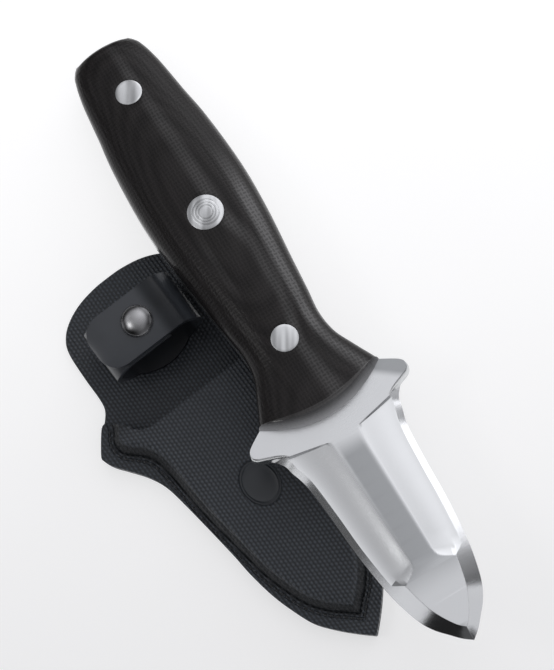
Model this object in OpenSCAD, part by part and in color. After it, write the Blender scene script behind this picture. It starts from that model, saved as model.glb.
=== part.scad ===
// Oyster knife with riveted handle scales, lying on its moulded leather sheath.
// X runs along the sheath towards its point, Z is up, and the origin is the middle of the sheath's back face.

/* [Knife] */
// Middle rivet to the blade tip, along the knife
tip_reach = 125; // [118:0.5:132]
// Middle rivet to the middle of the butt
butt_reach = 57; // [54.5:0.5:60.5]
// Middle rivet to the middle of the scales' front arc
front_reach = 59.7; // [58.5:0.1:60.5]
// Thickness of the plate that is blade, guard and tang in one
plate_t = 4.7; // [3.8:0.1:5.2]

/* [Handle] */
// Width at the butt corners
heel_w = 18.6; // [16:0.1:21]
// Width at the widest place, just behind the middle rivet
belly_w = 29.2; // [27:0.1:31]
// Width at the waist, beside the guard rivet
waist_w = 21.9; // [20:0.1:24]
// Width across the front corners of the scales
shoulder_w = 34.2; // [31:0.1:36]
// Thickness over both scales at the middle rivet
belly_t = 20; // [17:0.1:22]
// Thickness over both scales at the two outer rivets
neck_t = 16; // [14:0.1:17.5]
// Thickness over both scales at the butt
butt_t = 13.6; // [12:0.1:15]
// Thickness over both scales at the front wall
front_t = 16.2; // [14:0.1:17]
// Lean of the scales' front wall
front_lean = 21; // [10:1:30]

/* [Rivets] */
// Butt to the butt rivet
butt_rivet_in = 17.1; // [15:0.1:20]
// Scales' front arc to the guard rivet
guard_rivet_in = 21.2; // [19:0.1:24]
// Head of the two outer rivets
small_head_d = 7.05; // [6:0.05:8]
// Head of the middle rivet
large_head_d = 9.4; // [8:0.1:11]
// Thickness of a rivet head where it sits in its counterbore
head_t = 3; // [2.4:0.1:3.4]
// Outer diameter of the hollow rivet half
barrel_d = 4.6; // [4:0.1:5.2]
// Diameter of the solid rivet half inside it
shank_d = 2.8; // [2.2:0.1:3.2]

/* [Blade] */
// Width over the two guard wings
guard_w = 44.8; // [42:0.2:48]
// Width of the blade just in front of the guard
root_w = 31.4; // [29:0.2:33]
// Width of the blade where the point begins
point_w = 23.5; // [21:0.1:25]
// Width of the bevel along both edges
bevel_w = 4.2; // [3:0.1:4.6]
// Thickness left at the edge
edge_t = 0.4; // [0.2:0.05:0.8]
// Depth of the hollows in each face
hollow_d = 1.2; // [0.6:0.1:1.5]
// Half width of the middle ridge at the guard
ridge_hw = 3.3; // [2.6:0.1:3.6]
// Length of the ramp that ends each hollow
ramp_l = 3; // [2:0.5:5]

/* [Sheath] */
// Length of the sheath
sheath_l = 115; // [112:0.1:120]
// Thickness of the back panel
back_t = 2.2; // [1.8:0.1:2.6]
// Thickness of the front panel's sewn flange
flange_t = 2.2; // [1.8:0.1:2.6]
// Height of the moulded pocket over the flange
pocket_h = 4.6; // [4.4:0.1:5.4]
// Wall of the moulded pocket
wall_t = 1.7; // [1.4:0.1:2]
// Width over the two ears beside the pocket's mouth
ear_w = 57; // [54:0.2:59]
// Width of the flap
flap_w = 39.6; // [37:0.2:41]
// Pocket mouth, measured from the sheath's point
mouth_u = 75.5; // [72:0.5:77]

/* [Strap] */
// Width of the strap
strap_w = 14.6; // [12:0.2:16]
// Thickness of the strap leather
strap_t = 1.5; // [1.2:0.1:1.6]
// Width of the closed loop
loop_w = 26.6; // [25:0.2:28]
// Height of the strap's top face over the flap
loop_h = 17.3; // [16:0.1:18.5]
// Height of the two creases at the loop's sides over the flap
crease_h = 8.8; // [7:0.1:9.5]
// Middle of the strap, measured from the sheath's point
strap_u = 96.8; // [95:0.5:99]
// Half length of the part of the strap that is sewn flat on the flap
sewn_hw = 8; // [6.5:0.1:8.5]
// How far the rounded sewing patch under the loop bulges past the strap
patch_bulge = 2.4; // [0.5:0.1:3]
// Place of the strap's bend beside the loop's middle
bend_y = 7; // [6.5:0.1:8]

/* [Snap] */
// Diameter of the snap's domed cap
cap_d = 8.3; // [7.8:0.1:9]
// Height of the domed cap
cap_h = 2; // [1.5:0.1:2.6]
// Outer diameter of the snap's socket
socket_d = 7.6; // [7:0.1:8]
// Diameter of the socket's hollow
socket_bore = 5.6; // [5.2:0.1:6]
// Height of the socket
socket_h = 1.1; // [1:0.05:1.3]
// Diameter of the stud's nipple
stud_d = 3; // [2.6:0.1:3.4]
// Diameter of the two shanks that hold the snap together
snap_shank_d = 2.4; // [2:0.1:2.5]

/* [Placement] */
// Place of the knife's middle rivet along the sheath, and beside it
knife_x = -48.8; // [-49.3:0.05:-47.8]
knife_y = 29.2; // [29.2:0.1:32]
// Turn of the knife against the sheath, seen from above
knife_yaw = 4.93; // [4.5:0.01:5]
// Rise of the knife's left side, over the sheath
knife_roll = 4; // [3.5:0.1:5]
// Gap left under the knife where its waist leans on the pocket
rest_gap = 0.15; // [0:0.01:0.4]

/* [Hidden] */
$fn = 64;

fit = 0.02;          // gap around pieces that sit tight in each other
play = 0.25;         // gap between pieces that part when the snap opens
span_steps = 5;      // points between two knots of a smooth outline
plate_top = plate_t / 2;
panel_top = back_t + flange_t;
pocket_top = panel_top + pocket_h;

// Smooth curve through knots, closed at neither end
function between(a, b, c, d, t) =
    0.5 * (2 * b + (c - a) * t + (2 * a - 5 * b + 4 * c - d) * t ^ 2 + (3 * b - a - 3 * c + d) * t ^ 3);
function smooth(k, n = span_steps) =
    [for (i = [0 : len(k) - 2]) for (j = [0 : n - 1])
        between(k[max(i - 1, 0)], k[i], k[i + 1], k[min(i + 2, len(k) - 1)], j / n),
     k[len(k) - 1]];
function reversed(p) = [for (i = [len(p) - 1 : -1 : 0]) p[i]];

// Half outline drawn in by d, with its corners kept sharp; its ends face their mirror images
function side_normal(a, b) = [a.y - b.y, b.x - a.x] / norm(b - a);
function drawn_in(p, d) =
    [for (i = [0 : len(p) - 1])
        let (n = len(p),
             before = i > 0 ? p[i - 1] : [p[0].x, -p[0].y],
             after = i < n - 1 ? p[i + 1] : p[i].y == 0 ? [p[i - 1].x, -p[i - 1].y] : [p[i].x, -p[i].y],
             m = side_normal(before, p[i]),
             k = side_normal(p[i], after))
        p[i] - d * (m + k) / (1 + m * k)];

// Ring from two lines of points that face each other and may end in one point, and the solid through such rings
function ring(a, b) =
    let (n = len(a)) concat(a, reversed([for (i = [0 : a[n - 1] == b[n - 1] ? n - 2 : n - 1]) b[i]]));
function level_ring(half, z) = ring([for (q = half) [q.x, q.y, z]], [for (q = half) [q.x, -q.y, z]]);
module loft(rings) {
    size = len(rings[0]);
    half = ceil(size / 2);
    last = (len(rings) - 1) * size;
    walls = [for (s = [0 : len(rings) - 2]) for (i = [0 : size - 1])
        let (a = s * size + i, b = s * size + (i + 1) % size)
        each [[a, b, b + size], [a, b + size, a + size]]];
    cap = [for (i = [0 : half - 2]) each [[i, size - 1 - i, i + 1],
        if (i + 1 < size - 2 - i) [i + 1, size - 1 - i, size - 2 - i]]];
    end_cap = [for (f = cap) [last + f[0], last + f[2], last + f[1]]];
    polyhedron(points = [for (r = rings) each r], faces = concat(walls, cap, end_cap), convexity = 6);
}

butt_rivet_x = butt_reach - butt_rivet_in;
guard_rivet_x = front_reach - guard_rivet_in;

// Handle outline: one side from the butt corner to the scales' front corner
corner_x = front_reach - 5.9;
heel_x = -butt_reach + 1.9;
heel_hw = heel_w / 2;
belly_hw = belly_w / 2;
waist_hw = waist_w / 2;
shoulder_hw = shoulder_w / 2;
heel_rise = belly_hw - heel_hw;
handle_side = smooth([
    [heel_x - 1.1, heel_hw - 0.95], [heel_x - 0.2, heel_hw - 0.1], [heel_x + 2.1, heel_hw + 0.15 * heel_rise],
    [-butt_rivet_x - 6, heel_hw + 0.41 * heel_rise], [-butt_rivet_x + 5, belly_hw - 1.8],
    [-25, belly_hw - 0.8], [-9, belly_hw], [5, belly_hw - 0.7], [20, belly_hw - 2.3],
    [guard_rivet_x - 10, waist_hw + 0.6], [guard_rivet_x - 3, waist_hw], [guard_rivet_x + 3, waist_hw + 0.65],
    [corner_x - 7, shoulder_hw - 3.3], [corner_x, shoulder_hw]], 3);

// Blade outline: one side from the scales' front corner to the tip, at the edge and at the flat's border
guard_hw = guard_w / 2;
root_hw = root_w / 2;
point_hw = point_w / 2;
wing_x = front_reach;
edge_side = smooth([
    [corner_x, shoulder_hw], [wing_x - 3.3, guard_hw - 1.25], [wing_x - 1.7, guard_hw - 0.15],
    [wing_x - 0.6, guard_hw], [wing_x + 0.5, guard_hw - 1.1], [wing_x + 1.4, guard_hw - 3.4],
    [wing_x + 4.3, root_hw + 0.75], [wing_x + 7, root_hw], [wing_x + 12, root_hw - 1.35],
    [tip_reach - 43.5, root_hw - 2.2], [tip_reach - 33, root_hw - 2.8], [tip_reach - 22.6, point_hw],
    [tip_reach - 16.5, point_hw - 1.15], [tip_reach - 10.8, point_hw - 2.85], [tip_reach - 7.1, point_hw - 4.85],
    [tip_reach - 4.1, point_hw - 7.4], [tip_reach - 1.8, point_hw - 9.5], [tip_reach, 0]], 3);
flat_side = smooth([
    [corner_x, shoulder_hw], [wing_x - 3.3, guard_hw - 1.25], [wing_x - 1.7, guard_hw - 0.15],
    [wing_x - 0.6, guard_hw], [wing_x + 0.5, guard_hw - 1.1], [wing_x + 1.4, guard_hw - 3.4],
    [wing_x + 3.2, root_hw - 0.9], [wing_x + 6.2, root_hw + 0.5 - bevel_w], [wing_x + 11.8, root_hw - 1.35 - bevel_w],
    [tip_reach - 43.5, root_hw - 2.2 - bevel_w], [tip_reach - 33, root_hw - 2.8 - bevel_w],
    [tip_reach - 23.2, point_hw - bevel_w],
    [tip_reach - 18.2, point_hw - 0.75 - bevel_w], [tip_reach - 12.5, point_hw - 2.1 - bevel_w],
    [tip_reach - 9, point_hw - 3.5 - bevel_w], [tip_reach - 6.2, point_hw - 5.05 - bevel_w],
    [tip_reach - 4.4, point_hw - 6.35 - bevel_w], [tip_reach - 3.3, 0]], 3);

// Butt: the arc between the two heel corners
butt_steps = 4;
butt_edge_x = handle_side[0].x;
butt_hw = handle_side[0].y;
function butt_x(y) = butt_edge_x - (butt_reach + butt_edge_x) * (1 - (y / butt_hw) ^ 2);
butt_arc = [for (i = [0 : butt_steps - 1]) let (y = butt_hw * (i + 0.4) / butt_steps) [butt_x(y), y]];
function plate_half(front) = concat(butt_arc, handle_side, [for (i = [1 : len(front) - 1]) front[i]]);

// Oval section of the handle above the plate, from one edge to the other
oval_power = 2.3;
oval_steps = 14;
crown_line = smooth([
    [-butt_reach, butt_t / 2], [-butt_rivet_x - 9, (neck_t + butt_t) / 4 + 0.1],
    [-butt_rivet_x, neck_t / 2], [-25, (belly_t + neck_t) / 4 + 0.2], [-12, belly_t / 2 - 0.15],
    [0, belly_t / 2], [12, belly_t / 2 - 0.2], [25, (belly_t + neck_t) / 4 + 0.15],
    [guard_rivet_x, neck_t / 2], [guard_rivet_x + 8, neck_t / 2 - 0.4],
    [front_reach - 3, front_t / 2], [front_reach + 1, front_t / 2]]);
function handle_crown(x) = lookup(x, crown_line);
function bow(x) =
    x < 0 ? -(butt_reach + butt_edge_x) * max(0, 1 - (x - butt_edge_x) / 14) ^ 2
          : (front_reach - corner_x) * max(0, (x - corner_x + 16) / 16) ^ 2;
function oval_point(p, a, lean) =
    let (c = cos(a), s = sin(a),
         y = p.y * sign(c) * abs(c) ^ (2 / oval_power),
         x = p.x + bow(p.x) * (1 - (y / p.y) ^ 2),
         rise = (handle_crown(p.x + bow(p.x)) - plate_top) * abs(s) ^ (2 / oval_power))
    [x - rise * tan(lean), y, plate_top + rise];
function oval_ring(p, lean) =
    let (top = [for (i = [0 : oval_steps]) oval_point(p, 180 * i / oval_steps, lean)])
    concat(top, [for (i = [oval_steps - 1 : -1 : 1])
        let (q = oval_point(p, 180 * i / oval_steps, 0)) [q.x, q.y, plate_top]]);

// One side of the handle's oval, without holes; its foot on the plate follows the plate's outline
module oval_side() {
    n = len(handle_side);
    rings = [for (i = [0 : n - 1]) oval_ring(handle_side[i], i == n - 1 ? front_lean : 0)];
    size = len(rings[0]);
    m = oval_steps;
    points = [for (r = rings) for (q = r) q];
    walls = [for (s = [0 : n - 2]) for (i = [0 : size - 1])
        let (a = s * size + i, b = s * size + (i + 1) % size)
        each [[a, a + size, b + size], [a, b + size, b]]];
    // Each end wall joins the oval's edge to the foot below it
    function foot(i) = i == 0 || i == m ? i : size - i;
    strip = [for (i = [0 : m - 1])
        each (i == 0 ? [[i, i + 1, foot(i + 1)]]
            : i == m - 1 ? [[i, i + 1, foot(i)]]
            : [[i, i + 1, foot(i + 1)], [i, foot(i + 1), foot(i)]])];
    last = (n - 1) * size;
    end_strip = [for (f = strip) [last + f[2], last + f[1], last + f[0]]];
    polyhedron(points = points, faces = concat(walls, strip, end_strip), convexity = 4);
}

rivet_x = [-butt_rivet_x, 0, guard_rivet_x];
head_d = [small_head_d, large_head_d, small_head_d];
function head_seat(i) = handle_crown(rivet_x[i]) - head_t;

// How the knife lies: its butt stands on the table and its waist leans on the pocket beside the mouth
floor_gap = 0.04;
heel_foot = [-butt_reach, 2.3];
waist_rest = [sheath_l / 2 - mouth_u - knife_x - 0.6, -4.7];
function handle_depth(p) =
    plate_top + (handle_crown(p.x) - plate_top)
        * (1 - (abs(p.y) / lookup(p.x, handle_side)) ^ oval_power) ^ (1 / oval_power);
function under_side(p) = -p.y * sin(knife_roll) - handle_depth(p) * cos(knife_roll);
lean_run = waist_rest.x - heel_foot.x;
lean_drop = under_side(waist_rest) - under_side(heel_foot);
knife_pitch = asin((pocket_top + rest_gap - floor_gap) / norm([lean_run, lean_drop])) - atan(lean_drop / lean_run);
knife_z = floor_gap - heel_foot.x * sin(knife_pitch) - under_side(heel_foot) * cos(knife_pitch);
module in_hand() {
    translate([knife_x, knife_y, knife_z]) rotate([-knife_roll, -knife_pitch, -knife_yaw]) children();
}
module other_face() { mirror([0, 0, 1]) children(); }

module scale_piece() {
    difference() {
        oval_side();
        for (i = [0 : 2]) translate([rivet_x[i], 0, 0]) {
            cylinder(d = barrel_d + 2 * fit, h = belly_t);
            translate([0, 0, head_seat(i)]) cylinder(d = head_d[i] + 2 * fit, h = belly_t);
        }
    }
}

// Each rivet is a hollow half from the front and a solid half from the back, ground flush with the scales
module rivet_head(i) {
    intersection() {
        translate([rivet_x[i], 0, head_seat(i)]) cylinder(d = head_d[i], h = belly_t);
        oval_side();
    }
}
module hollow_rivet(i) {
    difference() {
        union() {
            rivet_head(i);
            translate([rivet_x[i], 0, -head_seat(i) + fit]) cylinder(d = barrel_d, h = 2 * head_seat(i));
        }
        translate([rivet_x[i], 0, -belly_t]) cylinder(d = shank_d + 2 * fit, h = belly_t + head_seat(i));
    }
}
module solid_rivet(i) {
    union() {
        other_face() rivet_head(i);
        translate([rivet_x[i], 0, -head_seat(i) - 1]) cylinder(d = shank_d, h = 2 * head_seat(i));
    }
}
module butt_rivet_front() { color("gainsboro") in_hand() hollow_rivet(0); }
module butt_rivet_rear() { color("gainsboro") in_hand() solid_rivet(0); }
module middle_rivet_front() { color("gainsboro") in_hand() hollow_rivet(1); }
module middle_rivet_rear() { color("gainsboro") in_hand() solid_rivet(1); }
module guard_rivet_front() { color("gainsboro") in_hand() hollow_rivet(2); }
module guard_rivet_rear() { color("gainsboro") in_hand() solid_rivet(2); }

// Cutter for one hollow: a flat floor that curves up to the middle ridge and ramps out towards the tip
ridge_curve = 2;
ridge_end_hw = ridge_hw - 0.8;
hollow_out = 9;
hollow_start = wing_x + 5.8;
hollow_end = tip_reach - 22.9;
curve_steps = 6;
function hollow_profile(hw, depth) =
    concat([[hw - 0.02, plate_top + 0.5]],
        [for (i = [0 : curve_steps]) let (a = 90 * i / curve_steps)
            [hw + ridge_curve * (1 - cos(a)), plate_top - depth * sin(a)]],
        [[hw + ridge_curve + hollow_out, plate_top - depth]]);
module hollow_cutter() {
    lift = 2;
    function station(x0, slope, hw, depth) =
        let (p = hollow_profile(hw, depth), x = [for (q = p) x0 + slope * (q.x - hw)])
        ring([for (i = [0 : len(p) - 1]) [x[i], p[i].x, plate_top + lift]],
             [for (i = [0 : len(p) - 1]) [x[i], p[i].x, p[i].y]]);
    loft([station(hollow_start, -0.215, ridge_hw, hollow_d),
          station(hollow_end, 0.36, ridge_end_hw, hollow_d),
          station(hollow_end + ramp_l * 0.55, 0.5, ridge_end_hw, -0.02)]);
}

module blade() {
    edge = plate_half(edge_side);
    flat = plate_half(flat_side);
    color("silver") in_hand() difference() {
        loft([level_ring(flat, -plate_top), level_ring(edge, -edge_t / 2),
              level_ring(edge, edge_t / 2), level_ring(flat, plate_top)]);
        for (side = [0, 1]) mirror([0, side, 0]) {
            hollow_cutter();
            other_face() hollow_cutter();
        }
        for (x = rivet_x) translate([x, 0, -plate_t]) cylinder(d = barrel_d + 2 * fit, h = 2 * plate_t);
    }
}
module front_scale() { color("dimgray") in_hand() scale_piece(); }
module rear_scale() { color("dimgray") in_hand() other_face() scale_piece(); }

// Sheath outlines, as distance from the point and half width
function placed(half) = [for (q = half) [sheath_l / 2 - q.x, q.y]];
function both_sides(half) = concat(half, reversed([for (q = half) [q.x, -q.y]]));
ear_hw = ear_w / 2;
flap_hw = flap_w / 2;
side_half = smooth([
    [mouth_u + 8.2, ear_hw - 4.2], [mouth_u + 3, ear_hw - 0.3], [mouth_u + 1.4, ear_hw],
    [mouth_u - 1, ear_hw - 1], [mouth_u - 4, ear_hw - 3.2], [66.8, 22], [61.7, 19.8], [54.3, 18.5],
    [38.8, 16.6], [31, 15.9], [23.7, 14.7], [18, 13.1], [12.1, 10.8], [7.5, 7.4], [3.5, 3.7], [0, 0]], 3);
flap_half = smooth([
    [sheath_l, 1], [sheath_l - 1.2, 10], [sheath_l - 4.9, flap_hw - 2.3], [sheath_l - 9.6, flap_hw - 0.2],
    [sheath_l - 17, flap_hw], [mouth_u + 15, flap_hw + 0.1], [mouth_u + 11.7, flap_hw + 1.2],
    [mouth_u + 8.2, ear_hw - 4.2]]);
foot_half = smooth([
    [mouth_u + 14, 19.8], [mouth_u + 8.6, 21], [mouth_u + 6.2, 21.8], [mouth_u + 3, 23.8], [mouth_u - 0.4, 23.3],
    [71.2, 19.6], [67.8, 17.8], [63, 17.1], [56.7, 16.7], [48.5, 16], [40.9, 14.9], [29.6, 13.3], [22.2, 11.3],
    [16.3, 9], [11.6, 5.5], [8.8, 2.4], [6.5, 0]], 3);
hollow_half = smooth([
    [mouth_u + 14, 19 - wall_t], [mouth_u + 4, 22.2 - wall_t], [mouth_u - 3, 21.2 - wall_t],
    [68.5, 18 - wall_t], [60, 16.8 - wall_t], [48.5, 15.8 - wall_t], [29.5, 13.1 - wall_t],
    [22.2 + 0.3 * wall_t, 11.2 - 0.9 * wall_t], [11.6 + 0.8 * wall_t, 5.5 - 0.7 * wall_t],
    [6.5 + 1.4 * wall_t, 0]], 3);
back_outline = placed(concat(flap_half, [for (i = [1 : len(side_half) - 1]) side_half[i]]));
flange_outline = placed(side_half);
foot_outline = placed(foot_half);
hollow_outline = placed(hollow_half);

module back_panel() {
    color("#3c4043") linear_extrude(back_t) polygon(both_sides(back_outline));
}

// Moulded pocket: a stepped wall that rises from the stitched flange to a flat top
step_in = 0.9;
function pocket_ring(d, z) = level_ring(drawn_in(foot_outline, d), z);
function hollow_ring(d, z) = level_ring(drawn_in(hollow_outline, d), z);
module pocket_outside() {
    loft([pocket_ring(0, panel_top - 0.5), pocket_ring(0, panel_top),
          pocket_ring(0.3, panel_top + 0.36 * pocket_h), pocket_ring(step_in + 0.2, panel_top + 0.46 * pocket_h),
          pocket_ring(step_in + 0.6, panel_top + 0.8 * pocket_h), pocket_ring(step_in + 1.2, pocket_top - 0.25),
          pocket_ring(step_in + 2, pocket_top)]);
}
module pocket_inside() {
    loft([hollow_ring(0, 0), hollow_ring(0, panel_top + 0.3 * pocket_h),
          hollow_ring(step_in, pocket_top - wall_t)]);
}
mouth_run = 18;
mouth_drop = 5.6;
mouth_half = smooth([
    [mouth_u, 4], [mouth_u, 12], [mouth_u + 0.35, 14.6], [mouth_u + 1.6, 16.8], [mouth_u + 5.1, 18.9],
    [mouth_u + 7, 20.8], [mouth_u + 9, 22.8], [mouth_u + mouth_run, 31.8]]);
module front_panel() {
    mouth_x = sheath_l / 2 - mouth_u;
    color("#3c4043") difference() {
        union() {
            translate([0, 0, back_t]) linear_extrude(flange_t) polygon(both_sides(flange_outline));
            pocket_outside();
        }
        pocket_inside();
        // Seen from above, the mouth runs straight across the pocket and then out to the two ears
        translate([0, 0, back_t - 1]) linear_extrude(pocket_top) polygon(both_sides(placed(mouth_half)));
        // Beside the mouth the pocket's top slopes down to the ears
        translate([mouth_x, ear_w, pocket_top]) rotate([90, 0, 0]) linear_extrude(2 * ear_w)
            polygon([[0, 1], [0, 0], [-mouth_run, -mouth_drop], [-mouth_run, 1]]);
    }
}

// Strap: a loop sewn on the flap, with a short left arm that carries the stud and a long arm that snaps on it
strap_x = sheath_l / 2 - strap_u;
crease_y = loop_w / 2;
crease_z = back_t + crease_h;
tongue_top = back_t + loop_h;
arm_top = tongue_top - strap_t - socket_h - play;
arm_end_y = 4.6;
bend_gap = 0.3;
arc_steps = 10;
crease_power = 1.7;
module across_strap(width) {
    translate([strap_x - width / 2, 0, 0]) rotate([90, 0, 90]) linear_extrude(width) children();
}
// Band of leather that runs level from end_y, then turns over turn_w into the crease at the loop's side
function turn(w, h, y0, z0) =
    [for (i = [0 : arc_steps]) let (a = 90 * i / arc_steps)
        [y0 + w * sin(a) ^ (2 / crease_power), z0 + h * cos(a) ^ (2 / crease_power)]];
module arm(level_z, turn_w, end_y) {
    up = level_z > crease_z ? 1 : -1;
    h = abs(level_z - crease_z);
    y0 = crease_y - turn_w;
    outer = turn(turn_w, up * h, y0, crease_z);
    inner = turn(turn_w - strap_t, up * (h - strap_t), y0, crease_z);
    polygon(concat([[end_y, level_z]], outer, reversed(inner), [[end_y, level_z - up * strap_t]]));
}
module strap_base() {
    long_turn = crease_y - bend_y - 0.8;
    short_turn = 6.2;
    sewn_turn = crease_y - sewn_hw + 1;
    color("#2b2d30") difference() {
        union() {
            translate([strap_x, 0, back_t]) linear_extrude(strap_t)
                polygon([for (side = [-1, 1]) for (i = [-arc_steps : arc_steps])
                    let (y = side * sewn_hw * i / arc_steps)
                    [-side * (strap_w / 2 + patch_bulge * (1 - (y / sewn_hw) ^ 2)), y]]);
            across_strap(strap_w) for (side = [0, 1]) mirror([side, 0]) arm(back_t, sewn_turn, 1);
            across_strap(strap_w) arm(tongue_top, long_turn, bend_y + bend_gap);
            across_strap(strap_w) mirror([1, 0]) arm(arm_top, short_turn, -arm_end_y);
        }
        translate([strap_x, 0, arm_top - 2 * strap_t]) cylinder(d = snap_shank_d + 2 * fit, h = 3 * strap_t);
        translate([strap_x, 0, arm_top - stud_flange_t]) cylinder(d = stud_flange_d + 2 * fit, h = strap_t);
    }
}
module strap_tongue() {
    corner_r = 5.6;
    reach = crease_y;
    color("#2b2d30") difference() {
        translate([strap_x, 0, tongue_top - strap_t]) linear_extrude(strap_t) union() {
            translate([-strap_w / 2, corner_r - reach]) square([strap_w, reach - corner_r + bend_y]);
            translate([corner_r - strap_w / 2, -reach]) square([strap_w - 2 * corner_r, reach]);
            for (side = [-1, 1]) translate([side * (strap_w / 2 - corner_r), corner_r - reach]) circle(corner_r);
        }
        translate([strap_x, 0, 0]) cylinder(d = snap_shank_d + 2 * fit, h = 2 * tongue_top);
    }
}

// Snap: cap and socket on the long arm, stud and post on the short one
stud_flange_d = 6.4;
stud_flange_t = 0.3;
socket_roof = 0.4;
nipple_h = 0.7;
post_t = 0.5;
module snap_cap() {
    dome_r = (cap_d ^ 2 / 4 + cap_h ^ 2) / (2 * cap_h);
    color("slategray") translate([strap_x, 0, tongue_top]) {
        difference() {
            translate([0, 0, cap_h - dome_r]) sphere(dome_r);
            translate([0, 0, -2 * dome_r]) cylinder(r = 2 * dome_r, h = 2 * dome_r);
        }
        translate([0, 0, -strap_t - socket_roof]) cylinder(d = snap_shank_d, h = strap_t + socket_roof + 0.5);
    }
}
module snap_socket() {
    color("slategray") translate([strap_x, 0, tongue_top - strap_t - socket_h]) difference() {
        cylinder(d = socket_d, h = socket_h);
        translate([0, 0, -1]) cylinder(d = socket_bore, h = 1 + socket_h - socket_roof);
        cylinder(d = snap_shank_d + 2 * fit, h = 2 * socket_h);
    }
}
module snap_stud() {
    color("slategray") translate([strap_x, 0, arm_top]) difference() {
        union() {
            translate([0, 0, -stud_flange_t]) cylinder(d = stud_flange_d, h = stud_flange_t);
            translate([0, 0, -stud_flange_t]) cylinder(d = stud_d, h = stud_flange_t + nipple_h);
        }
        translate([0, 0, -1]) cylinder(d = snap_shank_d + 2 * fit, h = 1 + nipple_h / 2);
    }
}
module snap_post() {
    color("slategray") translate([strap_x, 0, arm_top - strap_t - post_t]) {
        cylinder(d = socket_d - 0.6, h = post_t);
        cylinder(d = snap_shank_d, h = post_t + strap_t + nipple_h / 2 - fit);
    }
}

blade();
front_scale();
rear_scale();
butt_rivet_front();
butt_rivet_rear();
middle_rivet_front();
middle_rivet_rear();
guard_rivet_front();
guard_rivet_rear();
back_panel();
front_panel();
strap_base();
strap_tongue();
snap_cap();
snap_socket();
snap_stud();
snap_post();
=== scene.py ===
import math

import bmesh
import bpy
from mathutils import Matrix, Vector
from mathutils.geometry import delaunay_2d_cdt


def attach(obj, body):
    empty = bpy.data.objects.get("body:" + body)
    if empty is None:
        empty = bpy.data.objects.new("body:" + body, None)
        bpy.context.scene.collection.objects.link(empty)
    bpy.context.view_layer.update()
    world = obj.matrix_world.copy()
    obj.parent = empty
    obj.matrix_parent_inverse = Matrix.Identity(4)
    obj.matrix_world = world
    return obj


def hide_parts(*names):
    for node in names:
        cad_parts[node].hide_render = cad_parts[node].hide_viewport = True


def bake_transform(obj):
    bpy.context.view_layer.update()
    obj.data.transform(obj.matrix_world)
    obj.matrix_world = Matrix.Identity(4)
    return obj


bl_info = {
    "name": "Oyster Knife and Sheath",
    "version": (1, 0, 0),
    "blender": (4, 5, 0),
    "location": "View3D > Sidebar > Oyster Knife",
    "description": "Dresses a packed oyster knife and its leather sheath and sets them on a pale stage",
    "category": "Add Mesh",
}

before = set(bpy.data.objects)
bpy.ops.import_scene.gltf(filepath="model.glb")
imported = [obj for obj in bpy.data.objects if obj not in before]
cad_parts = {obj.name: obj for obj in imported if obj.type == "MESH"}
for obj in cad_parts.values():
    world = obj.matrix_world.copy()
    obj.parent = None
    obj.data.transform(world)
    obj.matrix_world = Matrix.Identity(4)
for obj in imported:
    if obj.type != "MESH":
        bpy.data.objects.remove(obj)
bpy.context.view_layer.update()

# Shapes are worked out in millimetres and turned into metres when a mesh is made
MM = 0.001

# How far the scales' front and the butt bow out past their corners
FRONT_BOW = 5.9
BUTT_BOW = 1.9
# Blade tip to the place where the ramps of the hollows begin
HOLLOW_END = 24
# Room between a bar and its bore, and the radius of a rivet's solid shank
PLAY = 0.02
SHANK_R = 1.4
# Rings along one stitch, and points in each
STITCH_RINGS = 9
STITCH_SIDES = 8
# Height of the camera's picture plane
PICTURE_H = 36


def length(name, description, default):
    return bpy.props.FloatProperty(name=name, description=description, default=default * MM, unit="LENGTH")


def angle(name, description, default):
    value = math.radians(default)
    return bpy.props.FloatProperty(name=name, description=description, default=value, subtype="ANGLE")


def colour(name, description, default):
    return bpy.props.FloatVectorProperty(
        name=name, description=description, default=default, size=3, min=0, max=1, subtype="COLOR"
    )


def number(name, description, default):
    return bpy.props.FloatProperty(name=name, description=description, default=default)


def pointer(kind, name):
    return bpy.props.PointerProperty(type=kind, name=name, description=kind.__doc__)


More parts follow.
